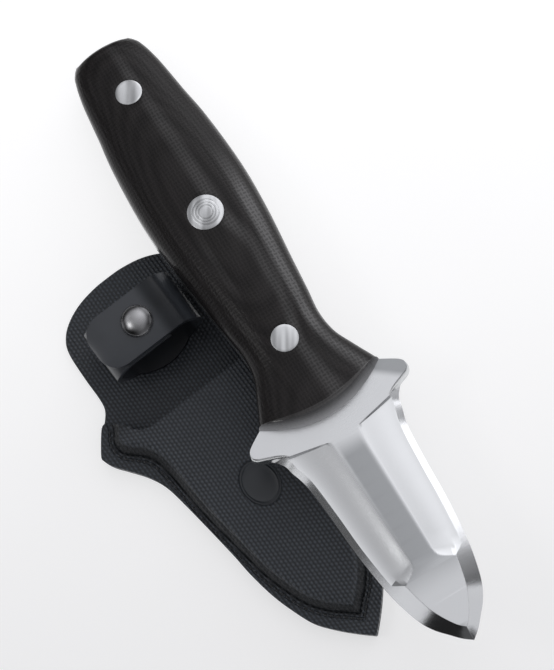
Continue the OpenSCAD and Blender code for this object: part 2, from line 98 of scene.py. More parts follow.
class KnifeSizes(bpy.types.PropertyGroup):
    """Sizes of the knife, along it from the middle rivet, and how it leans"""

    tip_reach: length("Tip reach", "Middle rivet to the blade tip", 125)
    butt_reach: length("Butt reach", "Middle rivet to the middle of the butt", 57)
    front_reach: length("Front reach", "Middle rivet to the middle of the scales' front arc", 59.7)
    plate_t: length("Plate thickness", "Thickness of blade, guard and tang", 4.7)
    heel_w: length("Heel width", "Width at the butt corners", 18.6)
    belly_w: length("Belly width", "Width at the widest place", 29.2)
    waist_w: length("Waist width", "Width beside the guard rivet", 21.9)
    shoulder_w: length("Shoulder width", "Width across the scales' front corners", 34.2)
    belly_t: length("Belly thickness", "Thickness over both scales at the middle rivet", 20)
    neck_t: length("Neck thickness", "Thickness over both scales at the outer rivets", 16)
    butt_t: length("Butt thickness", "Thickness over both scales at the butt", 13.6)
    front_t: length("Front thickness", "Thickness over both scales at the front wall", 16.2)
    front_lean: angle("Front lean", "Lean of the scales' front wall", 21)
    butt_rivet_x: length("Butt rivet", "Middle rivet to the butt rivet", 39.9)
    guard_rivet_x: length("Guard rivet", "Middle rivet to the guard rivet", 38.5)
    small_head_d: length("Small rivet head", "Head of the two outer rivets", 7.05)
    large_head_d: length("Large rivet head", "Head of the middle rivet", 9.4)
    head_t: length("Rivet head thickness", "Depth of a rivet head in its scale", 3)
    barrel_d: length("Rivet barrel", "Outer diameter of the hollow rivet half", 4.6)
    guard_w: length("Guard width", "Width over the two guard wings", 44.8)
    root_w: length("Root width", "Width of the blade in front of the guard", 31.4)
    point_w: length("Point width", "Width of the blade where the point begins", 23.5)
    bevel_w: length("Bevel width", "Width of the bevel along both edges", 4.2)
    edge_t: length("Edge thickness", "Thickness left at the edge", 0.4)
    strip_w: length("Strip width", "Width of the bevel left beside the hollows", 1.65)
    ridge_hw: length("Ridge half width", "Half width of the middle ridge at the guard", 3.3)
    ramp_l: length("Ramp length", "Length of the ramp that ends each hollow", 3)
    place: bpy.props.FloatVectorProperty(
        name="Place", description="Place of the middle rivet",
        default=(-0.0488, 0.0292, 0.0135423), unit="LENGTH",
    )
    yaw: angle("Yaw", "Turn against the sheath, seen from above", 4.93)
    pitch: angle("Pitch", "Rise of the blade end", 6.757)
    roll: angle("Roll", "Rise of the side over the sheath", 4)


class SheathSizes(bpy.types.PropertyGroup):
    """Sizes of the sheath, along it from its point"""

    sheath_l: length("Length", "Length of the sheath", 115)
    back_t: length("Back panel", "Thickness of the back panel", 2.2)
    flange_t: length("Flange", "Thickness of the front panel's sewn flange", 2.2)
    pocket_h: length("Pocket height", "Height of the moulded pocket over the flange", 4.6)
    wall_t: length("Wall", "Wall of the moulded pocket", 1.7)
    ear_w: length("Ears", "Width over the two ears beside the mouth", 57)
    flap_w: length("Flap", "Width of the flap", 39.6)
    mouth_u: length("Mouth", "Sheath's point to the pocket's mouth", 75.5)
    pillow_h: length("Pillow", "Swell of the pocket's top", 0.35)
    stitch_pitch: length("Stitch pitch", "Length of one stitch with its gap", 1.72)
    stitch_l: length("Stitch", "Length of thread that shows in one stitch", 1.3)
    thread_d: length("Thread", "Thickness of the sewing thread", 0.5)
    oval_u: length("Pressed oval", "Sheath's point to the middle of the pressed oval", 47.3)
    oval_l: length("Oval length", "Length of the pressed oval", 12.4)
    oval_w: length("Oval width", "Width of the pressed oval", 10)


class StrapSizes(bpy.types.PropertyGroup):
    """Sizes of the strap and its snap"""

    strap_w: length("Width", "Width of the strap", 14.6)
    strap_t: length("Thickness", "Thickness of the strap leather", 1.5)
    loop_w: length("Loop width", "Width of the closed loop", 26.6)
    loop_h: length("Loop height", "Height of the strap's top over the flap", 17.3)
    crease_h: length("Crease height", "Height of the loop's two creases over the flap", 8.8)
    strap_u: length("Place", "Sheath's point to the middle of the strap", 96.8)
    sewn_hw: length("Sewn part", "Half length of the part sewn on the flap", 8)
    patch_bulge: length("Patch bulge", "How far the sewn part bulges past the strap", 2.4)
    bend_y: length("Bend", "Place of the strap's bend beside its middle", 7)
    end_r: length("End corners", "Corner radius of the strap's free end", 5.6)
    cap_d: length("Snap cap", "Diameter of the snap's domed cap", 8.3)
    cap_h: length("Snap cap height", "Height of the snap's domed cap", 2)
    socket_h: length("Socket height", "Height of the snap's socket", 1.1)
    shank_d: length("Snap shank", "Diameter of the snap's shank", 2.4)


class FinishColours(bpy.types.PropertyGroup):
    """Colours of the finishes"""

    steel: colour("Steel", "Polished blade steel", (0.66, 0.67, 0.68))
    # Painted reflection: this darker steel is painted on the ridge, the point's flat, the right wing and the
    # guard
    ridge: colour("Ridge", "Satin steel of the middle ridge", (0.36, 0.37, 0.38))
    rivet: colour("Rivets", "Ground rivet heads", (0.6, 0.61, 0.62))
    laminate: colour("Laminate", "Handle laminate", (0.0066, 0.0056, 0.0056))
    fibre: colour("Fibre", "Lighter fibre in the laminate", (0.0245, 0.0215, 0.0215))
    # Painted reflection: this pale colour is painted on the foot of the handle's front wall
    ends: colour("Cloth ends", "Polished ends of the laminate's layers", (0.8, 0.8, 0.82))
    hide: colour("Sheath leather", "Leather of the sheath", (0.032, 0.037, 0.0445))
    strap: colour("Strap leather", "Leather of the strap", (0.034, 0.038, 0.045))
    thread: colour("Thread", "Sewing thread", (0.014, 0.015, 0.017))
    snap: colour("Snap", "Plated snap", (0.40, 0.40, 0.41))
    floor: colour("Floor", "Pale floor", (0.4, 0.4, 0.405))


class StageSettings(bpy.types.PropertyGroup):
    """Camera and light"""

    target: bpy.props.FloatVectorProperty(
        name="Target", description="Floor point in the middle of the picture",
        default=(-0.0191, 0.02576, 0), unit="LENGTH",
    )
    distance: length("Distance", "Camera to target", 666.1)
    azimuth: angle("Azimuth", "Direction of the camera, seen from above", -2.74)
    elevation: angle("Elevation", "Height of the camera over the floor", 77.52)
    roll: angle("Roll", "Turn of the picture against the sheath", -37.52)
    lens: number("Lens", "Focal length in mm on a 36 mm high picture", 140.4)
    key_power: number("Key", "Power of the key light in W", 0.6)
    ambient: number("Ambient", "Strength of the dim surroundings", 0.1)
    ceiling: number("Ceiling", "Strength of the wide soft light overhead", 0.4)
    overhead: number("Overhead", "Strength of the soft light in its middle", 0.9)
    right_glow: number("Right", "Strength of the soft light on the right", 1.7)
    left_glow: number("Left", "Strength of the narrow lights on the left", 0.8)
    point_glow: number("Point", "Strength of the soft lights that the point, ramps and front wall show", 0.5)
    floor_top: number("Floor top", "Glow of the floor at the picture's top", 0.785)
    floor_bottom: number("Floor bottom", "Glow of the floor at the picture's bottom", 0.575)


GROUPS = {
    "knife": KnifeSizes,
    "sheath": SheathSizes,
    "strap": StrapSizes,
    "colours": FinishColours,
    "stage": StageSettings,
}


class KnifeModel(bpy.types.PropertyGroup):
    """All settings of the knife, its sheath and the stage"""

    knife: pointer(KnifeSizes, "Knife")
    sheath: pointer(SheathSizes, "Sheath")
    strap: pointer(StrapSizes, "Strap")
    colours: pointer(FinishColours, "Colours")
    stage: pointer(StageSettings, "Stage")


class Millimetres:
    """Reads the lengths of a property group in millimetres, and its angles in radians"""

    def __init__(self, group):
        self.group = group

    def __getattr__(self, name):
        value = getattr(self.group, name)
        metres = self.group.bl_rna.properties[name].unit == "LENGTH"
        if not metres:
            return value
        return value / MM if isinstance(value, float) else Vector(value) / MM


# Curves and meshes


def smooth(knots, steps):
    """Points of a smooth open curve through knots."""
    line = [Vector(knot) for knot in knots]
    points = []
    for i in range(len(line) - 1):
        before, a, b, after = line[max(i - 1, 0)], line[i], line[i + 1], line[min(i + 2, len(line) - 1)]
        for j in range(steps):
            t = j / steps
            square = (2 * before - 5 * a + 4 * b - after) * t**2
            cube = (3 * a - before - 3 * b + after) * t**3
            points.append((2 * a + (b - before) * t + square + cube) / 2)
    return points + [line[-1]]


def look_up(table, x):
    """Value of a line of (x, value) points at x, level beyond its ends."""
    if x <= table[0][0]:
        return table[0][1]
    for a, b in zip(table, table[1:]):
        if x <= b[0]:
            return a[1] + (b[1] - a[1]) * (x - a[0]) / (b[0] - a[0])
    return table[-1][1]


def spread(line, count):
    """The same line with count + 1 points at equal distances."""
    reach = [0]
    for a, b in zip(line, line[1:]):
        reach.append(reach[-1] + (b - a).length)
    points = []
    k = 0
    for i in range(count + 1):
        want = reach[-1] * i / count
        while k < len(line) - 2 and reach[k + 1] < want:
            k += 1
        step = reach[k + 1] - reach[k]
        points.append(line[k].lerp(line[k + 1], (want - reach[k]) / step if step else 0))
    return points


def drawn_in(half, inset, share=lambda p: 1):
    """Half outline moved towards its inside by a share of inset; its ends face their mirror images."""
    moved = []
    for i, p in enumerate(half):
        before = half[i - 1] if i else Vector((2 * p.x - half[1].x, 2 * p.y - half[1].y))
        after = half[i + 1] if i < len(half) - 1 else Vector((half[i - 1].x, -half[i - 1].y))
        m = (p - before).orthogonal().normalized()
        k = (after - p).orthogonal().normalized()
        moved.append(p + inset * share(p) * (m + k) / (1 + m.dot(k)))
    # A line that crosses the middle ends there
    for i in range(1, len(moved)):
        a, b = moved[i - 1], moved[i]
        if b.y <= 0 < a.y:
            return moved[:i] + [a.lerp(b, a.y / (a.y - b.y))]
    return moved


def ring_faces(count, size, closed=True):
    """Quads that join count rings of size points each."""
    faces = []
    for ring in range(count - 1):
        for i in range(size if closed else size - 1):
            a = ring * size + i
            b = ring * size + (i + 1) % size
            faces.append((a, b, b + size, a + size))
    return faces


def shifted(faces, first):
    """The same faces on points that start at first."""
    return [tuple(first + i for i in face) for face in faces]


def circle(x, y, radius, sides):
    """Points of a circle."""
    turns = [2 * math.pi * i / sides for i in range(sides)]
    return [(x + radius * math.cos(turn), y + radius * math.sin(turn)) for turn in turns]


def strip_cap(first, size, turned=False):
    """Faces that close a ring whose two halves mirror each other."""
    faces = []
    for i in range(size // 2 - 1):
        face = [first + i, first + size - 1 - i, first + size - 2 - i, first + i + 1]
        faces.append(tuple(reversed(face)) if turned else tuple(face))
    return faces


def make_mesh(name, points, faces, place=None):
    """A mesh object from points in millimetres, its faces turned outwards."""
    mesh = bpy.data.meshes.new(name)
    place = place or Matrix.Identity(4)
    mesh.from_pydata([place @ Vector(p) * MM for p in points], [], faces)
    tidy(mesh)
    piece = bpy.data.objects.new(name, mesh)
    bpy.context.scene.collection.objects.link(piece)
    return piece


def ring_solid(name, rings, place):
    """A solid through closed rings whose two halves mirror each other."""
    size = len(rings[0])
    last = (len(rings) - 1) * size
    points = [p for ring in rings for p in ring]
    faces = ring_faces(len(rings), size) + strip_cap(0, size) + strip_cap(last, size, True)
    return make_mesh(name, points, faces, place)


def tidy(mesh):
    """Joins coinciding points, takes out faces without area and turns all faces outwards."""
    shape = bmesh.new()
    shape.from_mesh(mesh)
    bmesh.ops.remove_doubles(shape, verts=shape.verts, dist=0.003 * MM)
    bmesh.ops.dissolve_degenerate(shape, edges=shape.edges, dist=0.003 * MM)
    bmesh.ops.recalc_face_normals(shape, faces=shape.faces)
    shape.to_mesh(mesh)
    shape.free()


def apply_changes(piece):
    """Turns a piece's modifiers into mesh."""
    seen = piece.evaluated_get(bpy.context.evaluated_depsgraph_get())
    mesh = bpy.data.meshes.new_from_object(seen)
    piece.modifiers.clear()
    piece.data = mesh


def carve(piece, cutter):
    """Cuts the shape of cutter out of piece."""
    change = piece.modifiers.new("carve", "BOOLEAN")
    change.object = cutter
    change.operation = "DIFFERENCE"
    change.solver = "EXACT"
    apply_changes(piece)
    tidy(piece.data)
    bpy.data.objects.remove(cutter)


def soften(piece, width, over, rounds=2):
    """Rounds the edges that turn by more than over degrees."""
    change = piece.modifiers.new("soften", "BEVEL")
    change.width = width * MM
    change.segments = rounds
    change.limit_method = "ANGLE"
    change.angle_limit = math.radians(over)
    change.use_clamp_overlap = True
    change.miter_outer = "MITER_ARC"
    apply_changes(piece)
    tidy(piece.data)


def shade(piece, sharp):
    """Smooth shading that breaks where two faces turn by more than sharp degrees."""
    piece.data.shade_smooth()
    piece.data.set_sharp_from_angle(angle=math.radians(sharp))


def even_normals(piece):
    """Keeps large flat faces flat where they pass into small curved ones."""
    change = piece.modifiers.new("even normals", "WEIGHTED_NORMAL")
    change.keep_sharp = True
    change.weight = 80
    apply_changes(piece)


def store_place(piece, place=None):
    """Keeps each point's place in the piece's own frame, in millimetres, for its finish."""
    back = (place or Matrix.Identity(4)).inverted()
    data = piece.data.attributes.new("local", "FLOAT_VECTOR", "POINT")
    for vertex in piece.data.vertices:
        data.data[vertex.index].vector = back @ (vertex.co / MM)


def dress(piece, body, slot, finish, *nodes):
    """Gives a piece its finish, hides the nodes that it stands for and, if one is named, attaches it to its
    body. The slot is not used.
    """
    piece.data.materials.clear()
    piece.data.materials.append(finish)
    if body:
        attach(piece, body)
    if nodes:
        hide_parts(*nodes)


def round_bar(name, x, y, radius, low, high, place=None, sides=96):
    """An upright round bar, used as a cutter."""
    points = [(px, py, z) for z in (low, high) for px, py in circle(x, y, radius, sides)]
    faces = ring_faces(2, sides) + [tuple(range(sides)), tuple(range(sides, 2 * sides))]
    return make_mesh(name, points, faces, place)


# Finishes


def tint(colour, share):
    """A lighter or darker shade of a colour."""
    return tuple(share * c for c in colour)


class Socket:
    """A node's output that can be used in sums, which add Math nodes."""

    def __init__(self, sheet, link):
        self.sheet = sheet
        self.link = link

    def maths(self, operation, *values):
        """Adds a Math node."""
        return self.sheet.add("ShaderNodeMath", {"operation": operation}, dict(enumerate(values)))

    def __add__(self, other):
        return self.maths("ADD", self, other)

    def __radd__(self, other):
        return self.maths("ADD", other, self)

    def __sub__(self, other):
        return self.maths("SUBTRACT", self, other)

    def __rsub__(self, other):
        return self.maths("SUBTRACT", other, self)

    def __mul__(self, other):
        return self.maths("MULTIPLY", self, other)

    def __rmul__(self, other):
        return self.maths("MULTIPLY", other, self)

    def __truediv__(self, other):
        return self.maths("DIVIDE", self, other)

    def __pow__(self, other):
        return self.maths("POWER", self, other)

    def __gt__(self, other):
        return self.maths("GREATER_THAN", self, other)

    def __abs__(self):
        return self.maths("ABSOLUTE", self)

    def wave(self, pitch):
        """Cosine with the given pitch."""
        return self.maths("COSINE", self * (2 * math.pi / pitch))

    def clipped(self):
        """The value, held between 0 and 1."""
        return self.sheet.add("ShaderNodeClamp", {}, {"Value": self, "Min": 0, "Max": 1}, "Result")

    def step(self, low, high):
        """0 below low, 1 above high, and smooth between them."""
        inputs = {"Value": self, "From Min": low, "From Max": high}
        return self.sheet.add("ShaderNodeMapRange", {"interpolation_type": "SMOOTHSTEP"}, inputs, "Result")

    def band(self, low, full, still_full, high):
        """1 between full and still_full, and smooth down to 0 at low and at high."""
        return self.step(low, full) * (1 - self.step(still_full, high))

    def within(self, full, none):
        """1 where the value is nearer to 0 than full, and smooth down to 0 at none."""
        return 1 - abs(self).step(full, none)


class NodeSheet:
    """A node tree on its way."""

    def __init__(self, tree):
        self.tree = tree

    def feed(self, socket, value):
        """Sets a socket to a value, or links an output to it."""
        if isinstance(value, Socket):
            self.tree.links.new(value.link, socket)
        elif socket.type == "RGBA":
            socket.default_value = (*value, 1)
        else:
            socket.default_value = value

    def add(self, kind, settings=None, inputs=None, output=0):
        """Adds a node: its settings first, then the values or links of its sockets."""
        node = self.tree.nodes.new(kind)
        for key, value in (settings or {}).items():
            setattr(node, key, value)
        for key, value in (inputs or {}).items():
            self.feed(node.inputs[key], value)
        return Socket(self, node.outputs[output])

    def parts(self, vector):
        """The three parts of a vector."""
        node = self.tree.nodes.new("ShaderNodeSeparateXYZ")
        self.feed(node.inputs[0], vector)
        return [Socket(self, output) for output in node.outputs]

    def joined(self, x, y, z=0):
        """A vector of three parts."""
        return self.add("ShaderNodeCombineXYZ", {}, {0: x, 1: y, 2: z})

    def along(self, vector, direction):
        """How far a vector reaches along a direction."""
        inputs = {0: vector, 1: Vector(direction).normalized()}
        return self.add("ShaderNodeVectorMath", {"operation": "DOT_PRODUCT"}, inputs, "Value")

    def local(self):
        """Place in the piece's own frame, in millimetres."""
        return self.add("ShaderNodeAttribute", {"attribute_name": "local"}, {}, "Vector")

    def across_grip(self):
        """Place across the handle, from -1 at one side to 1 at the other."""
        return self.add("ShaderNodeAttribute", {"attribute_name": "across"}, {}, "Fac")

    def noise(self, vector, scale, detail=2.0, roughness=0.5):
        """Soft random value, 0 to 1."""
        inputs = {"Vector": vector, "Scale": scale, "Detail": detail, "Roughness": roughness}
        return self.add("ShaderNodeTexNoise", {}, inputs, "Fac")

    def mixed(self, share, a, b):
        """Colour between a and b."""
        node = self.tree.nodes.new("ShaderNodeMix")
        node.data_type = "RGBA"
        self.feed(node.inputs["Factor"], share)
        colours = [socket for socket in node.inputs if socket.type == "RGBA"]
        self.feed(colours[0], a)
        self.feed(colours[1], b)
        return Socket(self, [socket for socket in node.outputs if socket.type == "RGBA"][0])


class Finish(NodeSheet):
    """A material on its way, with its nodes."""

    def __init__(self, name, **constants):
        self.material = bpy.data.materials.new(name)
        self.material.use_nodes = True
        super().__init__(self.material.node_tree)
        self.shader = self.tree.nodes["Principled BSDF"]
        self.set(**constants)

    def set(self, **sockets):
        """Feeds the shader's sockets, named with _ for a blank."""
        for key, value in sockets.items():
            self.feed(self.shader.inputs[key.replace("_", " ")], value)

    def bump(self, height, depth):
        """Relief of height 0 to 1 and a depth in millimetres."""
        inputs = {"Height": height, "Distance": depth * MM, "Strength": 1.0}
        self.set(Normal=self.add("ShaderNodeBump", {}, inputs, "Normal"))


def beaded(x, y, bead_pitch, row_pitch):
    """Height of rows of beads, 0 to 1; the beads of each row face the gaps of the next."""
    beads = x.wave(bead_pitch) * y.wave(2 * row_pitch)
    return (0.5 + 0.3 * y.wave(row_pitch) + 0.32 * beads).clipped()


def woven(x, y, x_pitch, y_pitch):
    """Height of a plain weave, 0 to 1: threads that pass over and under each other."""
    over = (0.5 + 0.9 * x.wave(2 * x_pitch) * y.wave(2 * y_pitch)).clipped()
    along = 0.5 - 0.5 * y.wave(y_pitch)
    across = 0.5 - 0.5 * x.wave(x_pitch)
    return over * along + (1 - over) * across


def sheath_finish(colours, sizes):
    """Leather embossed with rows of beads, smooth in the pressed oval."""
    finish = Finish("sheath_leather_finish", Specular_IOR_Level=0.5)
    place = finish.local()
    x, y, z = finish.parts(place)
    weave = beaded(x, y, bead_pitch=1.17, row_pitch=0.96)
    grain = finish.noise(place, scale=6, detail=4, roughness=0.6)
    blotch = finish.noise(place, scale=0.06)
    # The oval is pressed into the pocket's top only, not into the back panel under it
    along = (x - sizes.sheath_l / 2 + sizes.oval_u) / (sizes.oval_l / 2)
    aside = y / (sizes.oval_w / 2)
    oval = (1 - (along * along + aside * aside).step(0.94, 1.04)) * (z > sizes.pocket_h)
    cloth = weave * (1 - oval)
    # Painted shade: the lower part of the moulded wall is painted darker than the flange below it and the top
    # above it, as the shade at the pocket's foot
    flange = sizes.back_t + sizes.flange_t
    wall = (z > flange + 0.08) * (1 - z.step(flange + 1.8, flange + sizes.pocket_h - 0.25))
    # The leather's own tone with the wall's painted shade
    tone_and_wall_shade = (cloth + 0.3 * oval) * (0.65 + 0.5 * blotch) * (1 - 0.85 * wall)
    finish.set(
        Base_Color=finish.mixed(tone_and_wall_shade, tint(colours.hide, 0.2), tint(colours.hide, 2.2)),
        Roughness=0.58 - 0.16 * cloth - 0.2 * oval + 0.1 * (grain - 0.5),
    )
    finish.bump(cloth + 0.08 * grain, depth=0.28)
    return finish.material


def strap_finish(colours):
    """Smooth, polished strap leather with a fine grain."""
    finish = Finish("strap_leather_finish", Specular_IOR_Level=0.15, Coat_Roughness=0.26)
    place = finish.local()
    grain = finish.noise(place, scale=2.2, detail=5, roughness=0.65)
    cloud = finish.noise(place, scale=0.12)
    # Painted shade: the strap is painted darker where it bends down beside the snap and under its long arm,
    # where shade falls; its coat is also thinner there
    _, y, z = finish.parts(place)
    bend = y.band(3, 6.5, 9.5, 11)
    under = (1 - z.step(9, 15)) * y.within(8, 12)
    shade_and_dull = (0.9 * bend + under).clipped()
    # Painted shade darkens this tone where the strap bends and under its arm
    tone = (0.7 + 0.5 * (cloud - 0.5) - 0.7 * shade_and_dull).clipped()
    finish.set(
        Base_Color=finish.mixed(tone, tint(colours.strap, 0.4), tint(colours.strap, 1.35)),
        Roughness=0.4 + 0.1 * grain,
        Coat_Weight=0.8 - 0.75 * shade_and_dull,
    )
    finish.bump(grain, depth=0.02)
    return finish.material


def laminate_finish(colours, sizes):
    """Woven laminate: cloth from above, its layers as contour lines, bands of polish along the grip."""
    finish = Finish("handle_laminate_finish", Specular_IOR_Level=0.2, Coat_Roughness=0.16)
    place = finish.local()
    x, y, z = finish.parts(place)
    drift = finish.noise(place, scale=0.09)
    weave = woven(x + 1.5 * drift, y + 1.2 * drift, x_pitch=1.12, y_pitch=0.98)
    layer = 0.5 + 0.5 * (z + 0.4 * drift).wave(0.62)
    tone = 0.5 * weave + 0.5 * layer
    streak = finish.noise(finish.joined(x * 0.05, y * 0.5, z * 1.6), scale=1, detail=3, roughness=0.6)
    share = (tone * 0.7 + (streak - 0.5) * 0.9).clipped()
    cloth = finish.mixed(share, colours.laminate, colours.fibre)
    # The cut ends of the layers show on the front wall; its pale colour, palest at its foot, is a painted
    # reflection
    across = finish.across_grip()
    rise = z - sizes.plate_t / 2
    arc = sizes.front_reach - FRONT_BOW * across * across - rise * math.tan(sizes.front_lean)
    wall = (x - arc).step(-0.3, -0.1)
    pale = wall * (1 - rise.step(-1.5, 4.5)) * (1 - 0.6 * across.step(0.3, 0.9))
    finish.set(Base_Color=finish.mixed(pale, cloth, colours.ends))
    # Bands of polish: a soft one that bends over the belly, a strong one beside it, one left of the middle
    hump = x.band(0, 16, 28, 44)
    soft = (across - 0.21 - 0.25 * hump).within(0.02, 0.2)
    strong = (across - 0.74).within(0.03, 0.18) * x.step(-18, 8) * (1 - 0.5 * x.step(34, 44))
    left = (across + 0.36).within(0.02, 0.14) * x.band(0, 10, 18, 28)
    rim = abs(across).step(0.9, 0.98)
    polish = 0.6 * soft + 1.1 * strong + 0.45 * left + 0.35 * rim
    finish.set(
        Roughness=0.34 - 0.08 * tone + 0.12 * (streak - 0.5),
        Coat_Weight=(polish * (0.45 + 0.75 * weave) * (0.6 + 0.8 * drift) + 0.8 * wall).clipped(),
    )
    finish.bump(weave * 0.7 + layer * 0.3, depth=0.04)
    return finish.material


def blade_finish(colours, sizes):
    """Ground steel: fine lines across the blade, a rougher, matt middle ridge and brighter bevels, and a
    painted reflection that darkens the ridge, the point's flat, the right wing and the guard.
    """
    finish = Finish("blade_steel_finish", Metallic=1.0)
    place = finish.local()
    x, y, z = finish.parts(place)
    top, front, tip, ridge = sizes.plate_t / 2, sizes.front_reach, sizes.tip_reach, sizes.ridge_hw
    lines = finish.noise(finish.joined(x * 9.0, y * 0.35, z * 0.35), scale=1, detail=3, roughness=0.7)
    smear = finish.noise(place, scale=0.05)
    face = abs(z).step(top - 0.12, top - 0.02)
    bare = x.step(front + 6, front + 12)
    point = x.step(tip - HOLLOW_END, tip - HOLLOW_END + 2)
    middle = (y.within(ridge - 0.9, ridge + 0.9) + point).clipped()
    # The strips beside the hollows and the bevels of the point are polished brighter than the rest
    strip_y = sizes.root_w / 2 - 1.35 - sizes.strip_w
    strip = (abs(y) + 0.085 * (x - tip + 53.3)).step(strip_y - 0.1, strip_y + 0.2) * bare
    polished = (1 - face) * (point + strip).clipped()
    # Painted reflection: the ridge and the point's flat are painted darker, fading towards the tip; the right
    # wing and, a little, the guard and tang are painted darker too; all these places are also rougher
    fading = 1 - 0.75 * x.step(tip - 25, tip - 13)
    wing = (y - 1.2 * (x - front)).step(17, 21.5) * (1 - x.step(front, front + 3))
    satin_and_painted_reflection = face * (bare * fading * middle + wing + 0.2 * (1 - bare)).clipped()
    finish.set(
        Base_Color=finish.mixed(satin_and_painted_reflection, colours.steel, colours.ridge),
        Roughness=0.2 + 0.05 * lines + 0.06 * smear + 0.12 * satin_and_painted_reflection - 0.13 * polished,
    )
    finish.bump(lines, depth=0.004)
    return finish.material


def rivet_finish(colours):
    """Satin rivet steel, ground in one direction that lies at an angle to the knife, with painted reflection
    in light and dark bands along the grinding.
    """
    finish = Finish("rivet_steel_finish", Metallic=1.0)
    place = finish.local()
    aside = finish.along(place, (0.524, 0.842, 0))
    ahead = finish.along(place, (0.842, -0.524, 0))
    lines = finish.noise(finish.joined(aside * 7.0, ahead * 0.5), scale=1, detail=3, roughness=0.7)
    # Painted reflection: lighter and darker bands painted across the heads
    bands = finish.noise(finish.joined(aside * 0.42, ahead * 0.06), scale=1, detail=1).step(0.35, 0.65)
    marks_and_painted_reflection = bands * 0.85 + lines * 0.15
    finish.set(
        Base_Color=finish.mixed(marks_and_painted_reflection, tint(colours.rivet, 0.5), tint(colours.rivet, 1.15)),
        Roughness=0.26 + 0.1 * lines,
    )
    finish.bump(lines, depth=0.006)
    return finish.material


def snap_finish(colours):
    """Dark plated metal with faint polishing swirls and a painted reflection: a dark ring inside the cap's
    edge.
    """
    finish = Finish("snap_metal_finish", Metallic=1.0)
    place = finish.add("ShaderNodeTexCoord", {}, {}, "Object")
    swirl = finish.noise(place, scale=900, detail=3, roughness=0.6)
    # Painted reflection: the cap is painted darkest in a ring inside its edge
    x, y, _ = finish.parts(finish.add("ShaderNodeTexCoord", {}, {}, "Generated"))
    out = ((x - 0.5) * (x - 0.5) + (y - 0.5) * (y - 0.5)) * 4
    ring = out.band(0.25, 0.6, 0.7, 0.95)
    marks_and_painted_reflection = 0.2 * swirl + 0.8 * (1 - ring)
    finish.set(
        Base_Color=finish.mixed(marks_and_painted_reflection, tint(colours.snap, 0.2), colours.snap),
        Roughness=0.22 + 0.1 * swirl,
    )
    finish.bump(swirl, depth=0.004)
    return finish.material


def thread_finish(colours):
    """Twisted thread."""
    finish = Finish("thread_finish", Sheen_Weight=0.3)
    x, y, z = finish.parts(finish.local())
    twist = 0.5 + 0.5 * (x + y + z).wave(0.35)
    finish.set(
        Base_Color=finish.mixed(twist, tint(colours.thread, 0.5), tint(colours.thread, 1.8)),
        Roughness=0.7 - 0.1 * twist,
    )
    finish.bump(twist, depth=0.05)
    return finish.material


# Knife


def knife_place(sizes):
    """Where the knife leans, in millimetres."""
    turn = Matrix.Rotation(-sizes.yaw, 4, "Z") @ Matrix.Rotation(-sizes.pitch, 4, "Y")
    return Matrix.Translation(sizes.place) @ turn @ Matrix.Rotation(-sizes.roll, 4, "X")


def face_place(k, face):
    """The knife's place, turned over for its rear face."""
    return knife_place(k) @ Matrix.Scale(face, 4, (0, 0, 1))


def handle_side(k, steps):
    """One side of the handle's outline, from the butt corner to the scales' front corner."""
    corner_x = k.front_reach - FRONT_BOW
    heel_x = BUTT_BOW - k.butt_reach
    heel, belly, waist, shoulder = k.heel_w / 2, k.belly_w / 2, k.waist_w / 2, k.shoulder_w / 2
    rise = belly - heel
    return smooth([
        (heel_x - 0.9, heel - 1.55), (heel_x + 0.4, heel - 0.4), (heel_x + 2.6, heel + 0.13 * rise),
        (-k.butt_rivet_x - 6, heel + 0.41 * rise), (5 - k.butt_rivet_x, belly - 1.8),
        (-25, belly - 0.55), (-9, belly + 0.25), (5, belly - 0.4), (20, belly - 2),
        (k.guard_rivet_x - 10, waist + 0.8), (k.guard_rivet_x - 3, waist),
        (k.guard_rivet_x + 3, waist + 0.65), (corner_x - 7, shoulder - 3.3), (corner_x, shoulder),
    ], steps)


def guard_knots(k):
    """The part of the blade's outline that its edge and its flat share: the guard's wing."""
    wing_x, wing = k.front_reach, k.guard_w / 2
    return [
        (wing_x - FRONT_BOW, k.shoulder_w / 2), (wing_x - 3.3, wing - 1.25), (wing_x - 1.7, wing - 0.15),
        (wing_x - 0.6, wing), (wing_x + 0.5, wing - 1.1), (wing_x + 1.4, wing - 3.4),
    ]


def edge_side(k, steps):
    """One side of the blade's outline at its edge."""
    x, tip, root, point = k.front_reach, k.tip_reach, k.root_w / 2, k.point_w / 2
    return smooth(guard_knots(k) + [
        (x + 4.3, root + 0.75), (x + 7, root), (x + 12, root - 1.35),
        (tip - 43.5, root - 2.2), (tip - 33, root - 2.8), (tip - 22.6, point),
        (tip - 16.5, point - 1.15), (tip - 10.8, point - 2.85), (tip - 7.1, point - 4.85),
        (tip - 4.1, point - 7.4), (tip - 1.8, point - 9.5), (tip, 0),
    ], steps)


def flat_side(k, steps):
    """One side of the border between the blade's flat and its bevel."""
    x, tip, root, point, bevel = k.front_reach, k.tip_reach, k.root_w / 2, k.point_w / 2, k.bevel_w
    return smooth(guard_knots(k) + [
        (x + 3.2, root - 0.9), (x + 6.2, root + 0.5 - bevel), (x + 11.8, root - 1.35 - bevel),
        (tip - 43.5, root - 2.2 - bevel), (tip - 33, root - 2.8 - bevel), (tip - 23.2, point - bevel),
        (tip - 18.2, point - 0.75 - bevel), (tip - 12.5, point - 2.1 - bevel),
        (tip - 9, point - 3.5 - bevel), (tip - 6.2, point - 5.05 - bevel),
        (tip - 4.4, point - 6.35 - bevel), (tip - 3.3, 0),
    ], steps)


def plate_half(k, front, steps):
    """Half outline of the whole plate, from the middle of the butt to the tip."""
    side = handle_side(k, steps)
    corner = side[0]
    butt = []
    for i in range(8):
        y = corner.y * i / 8
        butt.append(Vector((corner.x - (k.butt_reach + corner.x) * (1 - (y / corner.y) ** 2), y)))
    return butt + side + front[1:]


